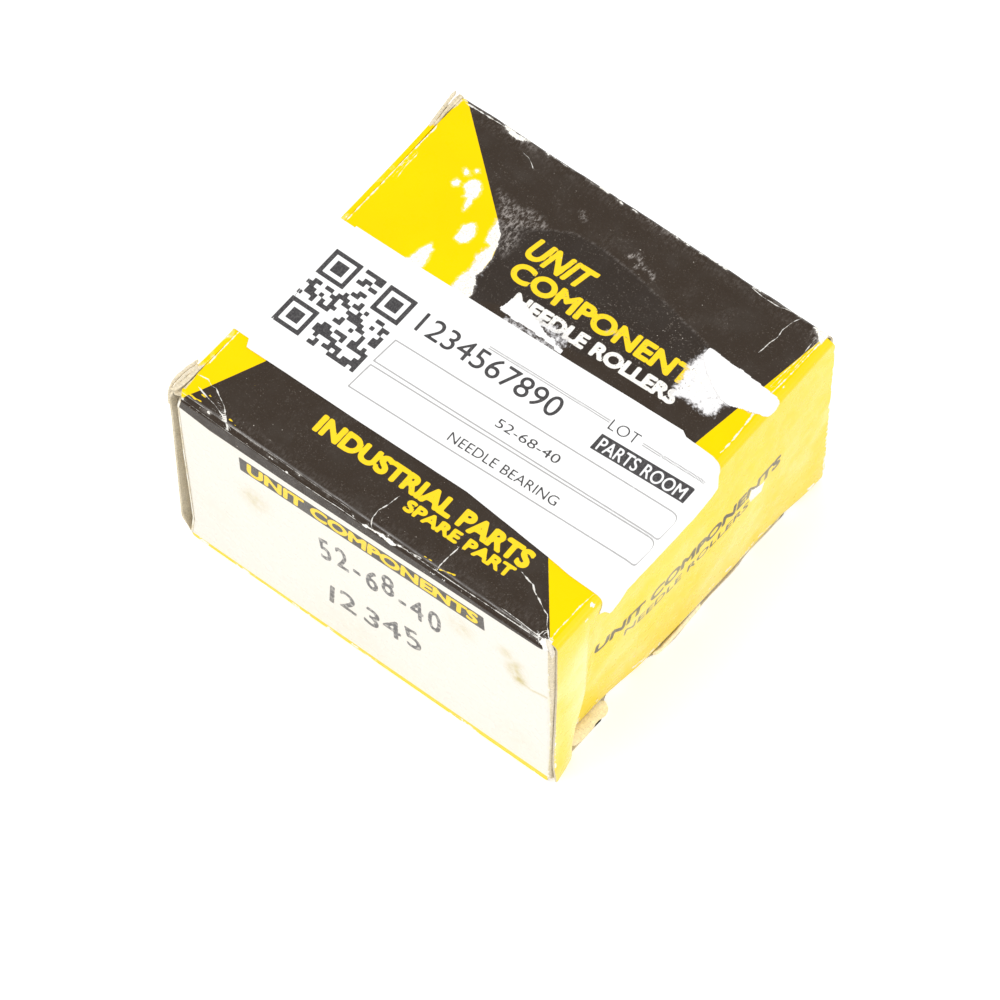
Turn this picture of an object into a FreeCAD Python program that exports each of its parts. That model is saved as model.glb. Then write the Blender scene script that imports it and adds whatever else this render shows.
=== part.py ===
import FreeCAD, Part
import math
import os

# Boxed needle roller bearing: a complete double-row needle roller bearing
# without an inner ring (dimension series 69, size code 09), lying flat inside a
# folded paperboard carton with a reverse tuck closure.
#
# Frame: millimetres, +Z up. Origin at the centre of the carton's underside.
# +X runs towards the right end (the end whose lid hangs from the top panel),
# +Y runs from the front panel to the back panel.

os.makedirs("parts", exist_ok=True)

# ---------------------------------------------------------------- carton sizes
CARTON_W = 74.0        # outside, along X (tube length, end lid to end lid)
CARTON_D = 71.2        # outside, along Y
CARTON_H = 42.6        # outside, along Z
BOARD = 0.38           # board thickness
GAP = 0.05             # clearance between pieces that move past each other
TUCK_LEN = 9.0         # length of a tuck flap from its crease
TUCK_OFFSET = 0.85     # outside of a tuck flap to the carton's outer face
DUST_LEN = 25.0        # length of a dust flap from its crease
DUST_TAPER = 0.40      # fall of a dust flap's edge per unit length
DUST_START = 0.90      # distance of that edge from the carton's outer face
DUST_LOW = 1.45        # distance of the other edge from the carton's outer face
LID_HALF_D = 35.30     # half width of an end lid, along Y
TOP_RAW_EDGE_X = -35.9     # raw left edge of the top panel
BOTTOM_RAW_EDGE_X = 35.60  # raw right edge of the bottom panel
TAB_HEIGHT = 12.0      # glue tab, up from the bottom panel
TAB_HALF_LEN = 33.0

# --------------------------------------------------------------- paper labels
PAPER = 0.12
LABEL_X0, LABEL_X1 = -33.8, 36.5     # main label, from near the left edge
LABEL_Y0, LABEL_Y1 = -22.3, 5.6      # its front and back edges, at the left
LABEL_TAIL_TOP = 42.0                # its right tail, on the right lid
LABEL_TAIL_LOW = 36.3
UNDER_Y0, UNDER_Y1 = -20.8, 5.2      # narrower strip under its left end
UNDER_TAIL_TOP = 41.3                # the strip's tail, on the left lid
UNDER_TAIL_LOW = 35.5

# -------------------------------------------------------------- bearing sizes
OD = 68.0              # outside diameter of the outer ring
WIDTH = 40.0           # width of the outer ring
FW = 52.0              # diameter under the rollers (the shaft's diameter)
ROLLER_D = 4.0
ROLLER_L = 14.5
ROLLERS_PER_ROW = 28
RACE_CLEAR = 0.05      # rollers to the outer raceway, radial
RIB_BORE_R = 28.9      # inner radius of the ring's end ribs
RIB_T = 2.2            # thickness of an end rib
RING_CHAMFER = 0.6
GROOVE_W = 3.5         # oil groove round the outside of the ring
GROOVE_DEEP = 0.8
OIL_HOLE_D = 2.5
CAGE_R_OUT = 28.6
CAGE_R_IN = 26.5
CAGE_LEN = 35.0
CAGE_END_BAR = 2.0     # end bars of the cage, along the axis
POCKET_L = 14.7
POCKET_W = 4.14
BEARING_X = -1.8       # the bearing's axis, inside the carton
BEARING_Z0 = 1.28      # underside of the outer ring

HW, HD = CARTON_W / 2.0, CARTON_D / 2.0


def box(x0, x1, y0, y1, z0, z1):
    return Part.makeBox(x1 - x0, y1 - y0, z1 - z0, FreeCAD.Vector(x0, y0, z0))


def plate_yz(points, x0, x1):
    """A flat plate with a polygonal outline in the YZ plane."""
    vs = [FreeCAD.Vector(x0, y, z) for y, z in points]
    face = Part.Face(Part.makePolygon(vs + [vs[0]]))
    return face.extrude(FreeCAD.Vector(x1 - x0, 0, 0))


def plate_xy(points, z0, z1):
    """A flat plate with a polygonal outline in the XY plane."""
    vs = [FreeCAD.Vector(x, y, z0) for x, y in points]
    face = Part.Face(Part.makePolygon(vs + [vs[0]]))
    return face.extrude(FreeCAD.Vector(0, 0, z1 - z0))


def save(shape, node):
    if not shape.isValid():
        raise RuntimeError("invalid shape: " + node)
    shape.exportStep("parts/" + node + ".step")
    print(node, "solids", len(shape.Solids), "volume", round(shape.Volume, 2))


# ------------------------------------------------------------------ the tube
tube_end = HW - BOARD - GAP                # panels stop short of the lids
wall_end = tube_end - BOARD - GAP / 2.0    # front and back stop at the dust flaps
save(box(TOP_RAW_EDGE_X, tube_end, -HD + BOARD, HD - BOARD,
         CARTON_H - BOARD, CARTON_H), "carton_top_panel")
save(box(-wall_end, wall_end, -HD, -HD + BOARD, 0, CARTON_H), "carton_front_panel")
save(box(-wall_end, wall_end, HD - BOARD, HD, 0, CARTON_H), "carton_back_panel")
save(box(-tube_end, BOTTOM_RAW_EDGE_X, -HD + BOARD, HD - BOARD, 0, BOARD),
     "carton_bottom_panel")
tab_pts = [(-TAB_HALF_LEN, BOARD), (TAB_HALF_LEN, BOARD),
           (TAB_HALF_LEN - 5.0, TAB_HEIGHT), (-TAB_HALF_LEN + 5.0, TAB_HEIGHT)]
tab_vs = [FreeCAD.Vector(x, HD - 2 * BOARD, z) for x, z in tab_pts]
tab = Part.Face(Part.makePolygon(tab_vs + [tab_vs[0]])).extrude(
    FreeCAD.Vector(0, BOARD, 0))
save(tab, "carton_glue_tab")

# ------------------------------------------------------------- the right end
# The lid hangs from the top panel. Its crease axis is the outer corner line
# x = HW, z = CARTON_H. The tuck flap's crease axis is the inner corner line.
lid_low = TUCK_OFFSET
save(box(HW - BOARD, HW, -LID_HALF_D, LID_HALF_D, lid_low, CARTON_H - GAP),
     "right_lid")


def tuck_flap(sign, z0):
    """sign +1: right end, -1: left end. The free corners are rounded off."""
    x_root = HW - BOARD - GAP
    x_tip = HW - BOARD - TUCK_LEN
    half = LID_HALF_D - 0.9
    pts = [(x_root, -half), (x_root, half)]
    r = 6.0
    for i in range(0, 7):
        a = math.radians(90.0 * i / 6.0)
        pts.append((x_tip + r - r * math.sin(a), half - r + r * math.cos(a)))
    for i in range(0, 7):
        a = math.radians(90.0 * i / 6.0)
        pts.append((x_tip + r - r * math.cos(a), -half + r - r * math.sin(a)))
    return plate_xy([(sign * x, y) for x, y in pts], z0, z0 + BOARD)


save(tuck_flap(+1, TUCK_OFFSET), "right_tuck_flap")


def dust_flap(side_x, side_y, taper_at_top):
    """Dust flap on the crease x = side_x * tube_end, y = side_y * HD."""
    r0, r1 = GAP, DUST_LEN
    pts = [(r0, DUST_LOW), (r1 - 3.0, DUST_LOW), (r1, DUST_LOW + 3.0),
           (r1, CARTON_H - DUST_START - DUST_TAPER * r1 - 0.3),
           (r1 - 1.5, CARTON_H - DUST_START - DUST_TAPER * (r1 - 1.5) - 0.2),
           (r0, CARTON_H - DUST_START)]
    if not taper_at_top:
        pts = [(r, CARTON_H - z) for r, z in pts]
    pts = [(side_y * (HD - r), z) for r, z in pts]
    x_out = side_x * tube_end
    return plate_yz(pts, x_out, x_out - side_x * BOARD)


save(dust_flap(+1, -1, True), "right_dust_flap_front")
save(dust_flap(+1, +1, True), "right_dust_flap_back")

# -------------------------------------------------------------- the left end
# The lid stands on the bottom panel's left edge and tucks in under the top
# panel, so the two ends tuck in opposite directions.
save(box(-HW, -HW + BOARD, -LID_HALF_D, LID_HALF_D, GAP,
         CARTON_H - TUCK_OFFSET), "left_lid")
save(tuck_flap(-1, CARTON_H - TUCK_OFFSET - BOARD), "left_tuck_flap")
save(dust_flap(-1, -1, False), "left_dust_flap_front")
save(dust_flap(-1, +1, False), "left_dust_flap_back")

# --------------------------------------------------------------- the labels
# The main label crosses the top panel and turns down over the right crease.
save(plate_xy([(LABEL_X0, LABEL_Y0), (10.2, -21.6), (25.8, -23.0),
               (LABEL_X1, -23.4), (LABEL_X1, 6.5), (29.1, 7.3),
               (LABEL_X0, LABEL_Y1)],
              CARTON_H, CARTON_H + PAPER), "label_main")
save(plate_yz([(-23.4, LABEL_TAIL_TOP), (7.0, LABEL_TAIL_TOP),
               (7.0, LABEL_TAIL_LOW + 1.5), (5.5, LABEL_TAIL_LOW),
               (-19.0, LABEL_TAIL_LOW + 0.6), (-21.5, 33.6),
               (-25.6, LABEL_TAIL_LOW + 1.2)],
              HW, HW + PAPER), "label_right_tail")
save(box(TOP_RAW_EDGE_X, LABEL_X0 - GAP, UNDER_Y0, UNDER_Y1,
         CARTON_H, CARTON_H + PAPER), "under_label_strip")
save(plate_yz([(UNDER_Y0, UNDER_TAIL_TOP), (UNDER_Y1, UNDER_TAIL_TOP),
               (UNDER_Y1, UNDER_TAIL_LOW), (UNDER_Y0, UNDER_TAIL_LOW)],
              -HW, -HW - PAPER), "under_label_tail")
# What is left of an older label that was torn off: two thin scraps.
scraps = [
    plate_xy([(20.3, 17.5), (23.5, 14.2), (26.7, 11.0), (29.6, 10.4),
              (33.1, 15.2), (36.3, 17.8), (36.3, 21.3), (34.7, 21.4),
              (22.2, 22.1)], CARTON_H, CARTON_H + PAPER),
    plate_xy([(-7.0, 7.1), (5.5, 7.2), (2.5, 7.9), (-1.5, 9.0),
              (-4.5, 10.2), (-6.8, 9.5)], CARTON_H, CARTON_H + PAPER)]
save(Part.makeCompound(scraps), "old_label_remnant")

# -------------------------------------------------------------- the bearing
axis = FreeCAD.Vector(0, 0, 1)
base = FreeCAD.Vector(BEARING_X, 0, BEARING_Z0)
race_r = FW / 2.0 + ROLLER_D + RACE_CLEAR
pitch_r = FW / 2.0 + ROLLER_D / 2.0
r_o = OD / 2.0
c = RING_CHAMFER
gz0 = WIDTH / 2.0 - GROOVE_W / 2.0
gz1 = WIDTH / 2.0 + GROOVE_W / 2.0

ring_profile = [
    (r_o - c, 0), (r_o, c),
    (r_o, gz0), (r_o - GROOVE_DEEP, gz0 + 0.5),
    (r_o - GROOVE_DEEP, gz1 - 0.5), (r_o, gz1),
    (r_o, WIDTH - c), (r_o - c, WIDTH),
    (RIB_BORE_R + 0.5, WIDTH), (RIB_BORE_R, WIDTH - 0.5),
    (RIB_BORE_R, WIDTH - RIB_T), (race_r, WIDTH - RIB_T),
    (race_r, RIB_T), (RIB_BORE_R, RIB_T),
    (RIB_BORE_R, 0.5), (RIB_BORE_R + 0.5, 0)]
vs = [FreeCAD.Vector(r, 0, z) for r, z in ring_profile]
ring = Part.Face(Part.makePolygon(vs + [vs[0]])).revolve(
    FreeCAD.Vector(0, 0, 0), axis, 360)
for ang in (0.0, 180.0):
    a = math.radians(ang)
    d = FreeCAD.Vector(math.cos(a), math.sin(a), 0)
    hole = Part.makeCylinder(OIL_HOLE_D / 2.0, 8.0,
                             FreeCAD.Vector(d.x * 28.0, d.y * 28.0, WIDTH / 2.0), d)
    ring = ring.cut(hole)
ring.translate(base)
save(ring, "outer_ring")

# One-piece double-row cage: a thin tube with in-line pockets.
cage_z0 = (WIDTH - CAGE_LEN) / 2.0
mid_bar = CAGE_LEN - 2.0 * CAGE_END_BAR - 2.0 * POCKET_L
row_z = [cage_z0 + CAGE_END_BAR, cage_z0 + CAGE_END_BAR + POCKET_L + mid_bar]
cage = Part.makeCylinder(CAGE_R_OUT, CAGE_LEN, FreeCAD.Vector(0, 0, cage_z0))
cage = cage.cut(Part.makeCylinder(CAGE_R_IN, CAGE_LEN + 2,
                                  FreeCAD.Vector(0, 0, cage_z0 - 1)))
cutters = []
for i in range(ROLLERS_PER_ROW):
    for z in row_z:
        pocket = Part.makeBox(8.0, POCKET_W, POCKET_L,
                              FreeCAD.Vector(24.0, -POCKET_W / 2.0, z))
        pocket.rotate(FreeCAD.Vector(0, 0, 0), axis, 360.0 * i / ROLLERS_PER_ROW)
        cutters.append(pocket)
cage = cage.cut(Part.makeCompound(cutters))
cage.translate(base)
save(cage, "needle_cage")

# Needle rollers: two in line in each axial place, each its own solid.
crown = 0.35
play = (POCKET_L - ROLLER_L) / 2.0
for i in range(ROLLERS_PER_ROW):
    a = 2.0 * math.pi * i / ROLLERS_PER_ROW
    rollers = []
    for z in row_z:
        prof = [(0, 0), (ROLLER_D / 2.0 - crown, 0), (ROLLER_D / 2.0, crown),
                (ROLLER_D / 2.0, ROLLER_L - crown),
                (ROLLER_D / 2.0 - crown, ROLLER_L), (0, ROLLER_L)]
        vs = [FreeCAD.Vector(r, 0, h) for r, h in prof]
        needle = Part.Face(Part.makePolygon(vs + [vs[0]])).revolve(
            FreeCAD.Vector(0, 0, 0), axis, 360)
        needle.translate(FreeCAD.Vector(pitch_r * math.cos(a),
                                        pitch_r * math.sin(a), z + play))
        needle.translate(base)
        rollers.append(needle.Solids[0] if needle.Solids else needle)
    save(Part.makeCompound(rollers), "needle_pair_%02d" % (i + 1))
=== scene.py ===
import math
import bpy
import numpy as np
from mathutils import Matrix, Vector


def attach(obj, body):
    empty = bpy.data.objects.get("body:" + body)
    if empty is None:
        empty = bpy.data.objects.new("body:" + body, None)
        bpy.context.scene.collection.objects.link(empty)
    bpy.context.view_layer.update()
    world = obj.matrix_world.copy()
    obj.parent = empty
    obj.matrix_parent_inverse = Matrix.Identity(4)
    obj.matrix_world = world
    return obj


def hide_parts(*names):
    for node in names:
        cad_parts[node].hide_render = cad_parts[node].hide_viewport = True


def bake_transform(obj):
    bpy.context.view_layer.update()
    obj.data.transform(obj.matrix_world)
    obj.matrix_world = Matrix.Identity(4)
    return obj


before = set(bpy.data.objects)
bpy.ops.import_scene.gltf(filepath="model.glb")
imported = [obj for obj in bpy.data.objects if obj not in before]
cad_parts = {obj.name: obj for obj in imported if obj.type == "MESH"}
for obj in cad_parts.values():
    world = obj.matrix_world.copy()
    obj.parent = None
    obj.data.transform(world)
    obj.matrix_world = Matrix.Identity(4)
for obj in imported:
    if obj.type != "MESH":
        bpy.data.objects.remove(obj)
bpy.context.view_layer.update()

# ---------------------------------------------------------------- sizes, mm
HW, HD, H = 37.0, 35.6, 42.6
BOARD = 0.38
R_FT, R_BT, R_LOW = 1.3, 1.0, 0.7      # fold radii: front-top, back-top, the two low ones
S_LID, R_LID = 35.8, 1.2               # where the right lid's fold starts, and its radius
X_RAW_L = -36.6                        # raw left edge of the top panel

RNG = np.random.default_rng(31)


# ---------------------------------------------------------------- noise
_perm = RNG.permutation(512).astype(np.int64)


def _hash(i, j, k, seed):
    a = _perm[(i + seed * 37) & 511]
    b = _perm[(a + j) & 511]
    c = _perm[(b + k) & 511]
    return c / 511.0 * 2 - 1


def noise(p, scale, seed=0):
    """smooth value noise, -1..1, feature size = scale mm"""
    q = np.asarray(p, float) / scale
    i = np.floor(q).astype(np.int64)
    f = q - i
    f = f * f * f * (f * (f * 6 - 15) + 10)
    r = 0
    for dx in (0, 1):
        wx = f[..., 0] if dx else 1 - f[..., 0]
        for dy in (0, 1):
            wy = f[..., 1] if dy else 1 - f[..., 1]
            for dz in (0, 1):
                wz = f[..., 2] if dz else 1 - f[..., 2]
                r = r + wx * wy * wz * _hash(i[..., 0] + dx, i[..., 1] + dy, i[..., 2] + dz, seed)
    return r


def fbm(p, scale, seed=0, octaves=3):
    r, a = 0, 1.0
    for o in range(octaves):
        r = r + a * noise(p, scale / 2 ** o, seed + o)
        a *= 0.5
    return r / 1.75


def smooth(x, a, b):
    t = np.clip((np.asarray(x, float) - a) / (b - a), 0, 1)
    return t * t * (3 - 2 * t)


def at2(x, y):
    return np.stack([x, y, np.zeros_like(x)], -1)


# ---------------------------------------------------------------- distances in the plane
def poly_segs(pts, closed=True):
    p = np.array(pts, float)
    q = np.roll(p, -1, 0) if closed else p[1:]
    p = p if closed else p[:-1]
    return np.hstack([p, q])


def seg_dist(X, Y, segs, signed=True):
    """distance of points to segments; positive inside (even-odd) when signed"""
    X, Y = np.asarray(X, float).ravel(), np.asarray(Y, float).ravel()
    out = np.empty(len(X))
    step = max(1, int(4e6 / len(segs)))
    x0, y0, x1, y1 = segs.T
    dx, dy = x1 - x0, y1 - y0
    ll = np.maximum(dx * dx + dy * dy, 1e-12)
    for s in range(0, len(X), step):
        px, py = X[s:s + step, None], Y[s:s + step, None]
        t = np.clip(((px - x0) * dx + (py - y0) * dy) / ll, 0, 1)
        d = np.sqrt(((px - x0 - t * dx) ** 2 + (py - y0 - t * dy) ** 2).min(1))
        if signed:
            cross = (y0 > py) != (y1 > py)
            with np.errstate(divide="ignore", invalid="ignore"):
                xi = x0 + (py - y0) * dx / np.where(dy == 0, 1e-12, dy)
            inside = (cross & (px < xi)).sum(1) % 2 == 1
            d = np.where(inside, d, -d)
        out[s:s + step] = d
    return out


class Field:
    """a signed distance over a set of surface points, grown by shapes"""

    def __init__(self, X, Y, far=-9.0):
        self.shape = X.shape
        self.X, self.Y = X.ravel(), Y.ravel()
        self.d = np.full(self.X.shape, far)

    def _near(self, segs, margin):
        lo = np.minimum(segs[:, :2].min(0), segs[:, 2:].min(0)) - margin
        hi = np.maximum(segs[:, :2].max(0), segs[:, 2:].max(0)) + margin
        return (self.X > lo[0]) & (self.X < hi[0]) & (self.Y > lo[1]) & (self.Y < hi[1])

    def shape_segs(self, segs, grow=0.0, margin=1.0):
        m = self._near(segs, margin)
        if m.any():
            d = seg_dist(self.X[m], self.Y[m], segs) + grow
            self.d[m] = np.maximum(self.d[m], d)
        return self

    def poly(self, pts, grow=0.0, margin=1.0):
        return self.shape_segs(poly_segs(pts), grow, margin)

    def line(self, pts, half, margin=1.0):
        segs = poly_segs(pts, False)
        m = self._near(segs, margin)
        if m.any():
            d = half - seg_dist(self.X[m], self.Y[m], segs, False)
            self.d[m] = np.maximum(self.d[m], d)
        return self

    def text(self, words, p0, p1, cap, bold=0.0, shear=0.0, jitter=0.0, seed=0):
        segs = text_segs(words, p0, p1, cap, shear, jitter, seed)
        return self.shape_segs(segs, bold)

    @property
    def a(self):
        return self.d.reshape(self.shape)


def crack_attrs(X, Y, lines):
    """signed offset from the nearest crack, and that crack's half width near it"""
    x, y = X.ravel(), Y.ravel()
    best = np.full(x.shape, 1.2)
    sgn = np.ones(x.shape)
    wid = np.zeros(x.shape)
    for pts, half in lines:
        segs = poly_segs(pts, False)
        lo, hi = np.array(pts).min(0) - 1.3, np.array(pts).max(0) + 1.3
        m = np.nonzero((x > lo[0]) & (x < hi[0]) & (y > lo[1]) & (y < hi[1]))[0]
        if not len(m):
            continue
        px_, py_ = x[m, None], y[m, None]
        x0, y0, x1, y1 = segs.T
        dx, dy = x1 - x0, y1 - y0
        t = np.clip(((px_ - x0) * dx + (py_ - y0) * dy) / np.maximum(dx * dx + dy * dy, 1e-9), 0, 1)
        d = np.hypot(px_ - x0 - t * dx, py_ - y0 - t * dy)
        j = d.argmin(1)
        r_ = np.arange(len(m))
        dm = d[r_, j]
        s_ = np.sign(dx[j] * (y[m] - y0[j]) - dy[j] * (x[m] - x0[j]))
        up = dm < best[m]
        k_ = m[up]
        best[k_], sgn[k_] = dm[up], np.where(s_[up] == 0, 1, s_[up])
        wid[k_] = np.where(dm[up] < 0.55, half, 0)
    return (best * sgn).reshape(X.shape), wid.reshape(X.shape)


_cap = [None]


def _raw_text(s):
    cu = bpy.data.curves.new("t", "FONT")
    cu.body = s
    cu.size = 1.0
    cu.resolution_u = 5
    ob = bpy.data.objects.new("t", cu)
    bpy.context.scene.collection.objects.link(ob)
    bpy.context.view_layer.update()
    me = bpy.data.meshes.new_from_object(ob.evaluated_get(bpy.context.evaluated_depsgraph_get()))
    co = np.array([v.co[:2] for v in me.vertices])
    count = {}
    for p in me.polygons:
        for e in p.edge_keys:
            count[e] = count.get(e, 0) + 1
    segs = np.array([[*co[a], *co[b]] for (a, b), n in count.items() if n == 1])
    bpy.data.objects.remove(ob)
    bpy.data.curves.remove(cu)
    bpy.data.meshes.remove(me)
    return segs


def text_segs(s, p0, p1, cap, shear=0.0, jitter=0.0, seed=0):
    """outline segments of s, its baseline from p0 to p1 and its capitals cap mm high"""
    if _cap[0] is None:
        h = _raw_text("H")
        _cap[0] = max(h[:, 1].max(), h[:, 3].max())
    p0, p1 = np.array(p0, float), np.array(p1, float)
    e = (p1 - p0) / np.linalg.norm(p1 - p0)
    n = np.array([-e[1], e[0]])
    if jitter:                              # loose hand-stamped characters
        r = np.random.default_rng(seed)
        parts, x = [], 0.0
        for ch in s:
            g = _raw_text(ch)
            w = max(g[:, 0].max(), g[:, 2].max())
            a = r.normal() * 0.07 * jitter
            R = np.array([[math.cos(a), -math.sin(a)], [math.sin(a), math.cos(a)]])
            q = g.reshape(-1, 2) @ R.T + [x, r.normal() * 0.05 * jitter]
            parts.append(q.reshape(-1, 4))
            x += w + 0.16
        segs = np.vstack(parts)
    else:
        segs = _raw_text(s)
    q = segs.reshape(-1, 2).copy()
    x0 = q[:, 0].min()
    q[:, 0] = (q[:, 0] - x0) / (q[:, 0].max() - x0) * np.linalg.norm(p1 - p0)
    q[:, 1] = q[:, 1] / _cap[0] * cap
    q[:, 0] += shear * (q[:, 1] - cap / 2)
    return (p0 + q[:, :1] * e + q[:, 1:] * n).reshape(-1, 4)


# ---------------------------------------------------------------- the dented right lid
_DY = [0, 5, 8.2, 9.2, 12, 18, 25, 35, 45, 60, 66, 71.2]
_DZ = [-1, 5, 12, 23, 35, 42.6]
_DT = [[0, -.15, .30, 1.0, 3.5, 3.2, 2.1, 1.65, 1.35, 1.1, .35, .1],
       [0, -.15, .30, 1.0, 3.3, 2.7, 2.0, 1.55, 1.3, 1.1, .35, .1],
       [0, -.15, .25, .9, 2.8, 2.0, 1.4, .95, .75, .6, .25, .1],
       [0, -.12, .15, .6, 1.8, 1.15, .6, .3, .05, .05, .05, .05],
       [0, -.06, .05, .3, .8, .45, .2, .08, 0, 0, 0, 0],
       [0] * 12]


def _dent_table():
    yy = np.arange(0, 71.3, 0.4)
    zz = np.arange(-1, 42.7, 0.4)
    t = np.array([np.interp(yy, _DY, r) for r in _DT])
    t = np.array([np.interp(zz, _DZ, t[:, i]) for i in range(len(yy))])     # (y, z)
    k = np.exp(-0.5 * (np.arange(-6, 7) / 2.2) ** 2)
    k /= k.sum()
    ky = np.exp(-0.5 * (np.arange(-4, 5) / 1.3) ** 2)
    ky /= ky.sum()
    t = np.array([np.convolve(np.pad(r, 6, "edge"), k, "valid") for r in t])
    t = np.array([np.convolve(np.pad(r, 4, "edge"), ky, "valid") for r in t.T]).T
    return yy, zz, t


_YY, _ZZ, _T = _dent_table()


def dent(y, z):
    """how far the right closure is pushed in at (y, z), mm"""
    y = np.asarray(y, float)
    y = y + 3.3 * smooth(-np.asarray(z, float), -19, -3) * np.exp(-((y + 28.0) / 5.5) ** 2)
    fy = np.clip((y + HD) / 0.4, 0, len(_YY) - 1.001)
    fz = np.clip((np.asarray(z, float) + 1) / 0.4, 0, len(_ZZ) - 1.001)
    i, j = fy.astype(int), fz.astype(int)
    a, b = fy - i, fz - j
    v = (_T[i, j] * (1 - a) * (1 - b) + _T[i + 1, j] * a * (1 - b)
         + _T[i, j + 1] * (1 - a) * b + _T[i + 1, j + 1] * a * b)
    return v * smooth(41.6 - np.asarray(z, float), 0, 4)


def ripple(x, y):
    """slight waviness of the top panel, below zero so that nothing stands above the carton"""
    n = fbm(at2(x, y), 16.0, 3)
    return -0.10 + 0.09 * n


def upper(s, y, off=0.0):
    """the outer face from the top panel over the right fold and down the right lid.
    s runs along x on top, then down the lid; returns place and outward direction"""
    s, y = np.broadcast_arrays(np.asarray(s, float), np.asarray(y, float))
    arc = R_LID * math.pi / 2
    phi = np.clip((s - S_LID) / arc, 0, 1) * math.pi / 2
    down = np.maximum(s - S_LID - arc, 0)
    x = np.where(s < S_LID, s, S_LID + R_LID * np.sin(phi))
    z = np.where(s < S_LID, H, H - R_LID + R_LID * np.cos(phi) - down)
    nx, nz = np.sin(phi), np.cos(phi)
    d = dent(y, z) * smooth(phi, 0.6, math.pi / 2)
    d = d + 0.05 * fbm(np.stack([x, y, z], -1), 9.0, 11) * smooth(down, 0, 4)
    x = x - d
    z = z + ripple(np.minimum(x, S_LID), y) * smooth(-phi, -math.pi / 2, 0)
    # lean of the face where it is dented
    e = 0.4
    gy = (dent(y + e, z) - dent(y - e, z)) / (2 * e) * smooth(down, 0, 1)
    gz = (dent(y, z + e) - dent(y, z - e)) / (2 * e) * smooth(down, 0, 1)
    N = np.stack([nx, gy * nx, nz + gz * nx], -1)
    N /= np.linalg.norm(N, axis=-1, keepdims=True)
    P = np.stack([x, y, z], -1) + N * off
    return P, N


# ---------------------------------------------------------------- mesh building
PIECES = {}


def build(name, P, N, thick, mats, attrs=None, wrap=False, k=4, inner_extra=0.0):
    """a closed sheet of board or paper. P, N: (rows, columns, 3) outer face and its outward direction, mm.
    Material 0 is the outer face, 1 the inner face, 2 the cut edge."""
    R, C = P.shape[:2]
    assert (C - 1) % k == 0 and ((R % k == 0) if wrap else ((R - 1) % k == 0)), (name, R, C)
    Q = P[::k, ::k] - N[::k, ::k] * thick
    r2, c2 = Q.shape[:2]
    n0 = R * C
    o = np.arange(n0).reshape(R, C)
    i = n0 + np.arange(r2 * c2).reshape(r2, c2)

    def quads(g, rows_wrap):
        a = g if not rows_wrap else np.vstack([g, g[:1]])
        return np.stack([a[:-1, :-1], a[:-1, 1:], a[1:, 1:], a[1:, :-1]], -1).reshape(-1, 4)

    fo = quads(o, wrap)
    fi = quads(i, wrap)[:, ::-1]
    rim = []

    def side(of, inn, rev):
        m = len(inn) - 1
        for t in range(m):
            f = list(of[t * k:t * k + k + 1])
            a, b = inn[t], inn[t + 1]
            rim.append((f[::-1] + [a, b]) if rev else (f + [b, a]))

    oc = (lambda c: np.append(o[:, c], o[0, c])) if wrap else (lambda c: o[:, c])
    ic = (lambda c: np.append(i[:, c], i[0, c])) if wrap else (lambda c: i[:, c])
    side(oc(0), ic(0), False)
    side(oc(C - 1), ic(c2 - 1), True)
    if not wrap:
        side(o[0], i[0], True)
        side(o[-1], i[-1], False)
    V = np.vstack([P.reshape(-1, 3), Q.reshape(-1, 3)])
    # which way round the outer faces go
    a, b, c = V[fo[:, 0]], V[fo[:, 1]], V[fo[:, 3]]
    nn = np.cross(b - a, c - a)
    nref = N.reshape(-1, 3)[fo[:, 0]]
    flip = (nn * nref).sum() < 0
    faces = fo.tolist() + fi.tolist() + [list(map(int, f)) for f in rim]
    if flip:
        faces = [f[::-1] for f in faces]
    me = bpy.data.meshes.new(name)
    me.from_pydata((V / 1000).tolist(), [], faces)
    idx = np.zeros(len(faces), np.int32)
    idx[len(fo):] = 1
    idx[len(fo) + len(fi):] = 2
    me.polygons.foreach_set("material_index", idx)
    me.polygons.foreach_set("use_smooth", np.ones(len(faces), bool))
    at = me.attributes.new("p", "FLOAT_VECTOR", "POINT")
    at.data.foreach_set("vector", V.astype(np.float32).ravel())
    for key, arr in (attrs or {}).items():
        arr = np.asarray(arr, float)
        full = np.full(len(V), -9.0 if key.startswith("d_") else 0.0, np.float32)
        full[:n0] = arr.ravel()
        full[n0:] = arr[::k, ::k].ravel()
        a_ = me.attributes.new(key, "FLOAT", "POINT")
        a_.data.foreach_set("value", full)
    ob = finish_mesh(name, me, mats)
    return ob


def finish_mesh(name, me, mats, angle=50):
    me.validate()
    me.update()
    try:
        me.set_sharp_from_angle(angle=math.radians(angle))
    except Exception:
        pass
    ob = bpy.data.objects.new(name, me)
    bpy.context.scene.collection.objects.link(ob)
    for m in mats:
        me.materials.append(m)
    PIECES[name] = ob
    return ob


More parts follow.
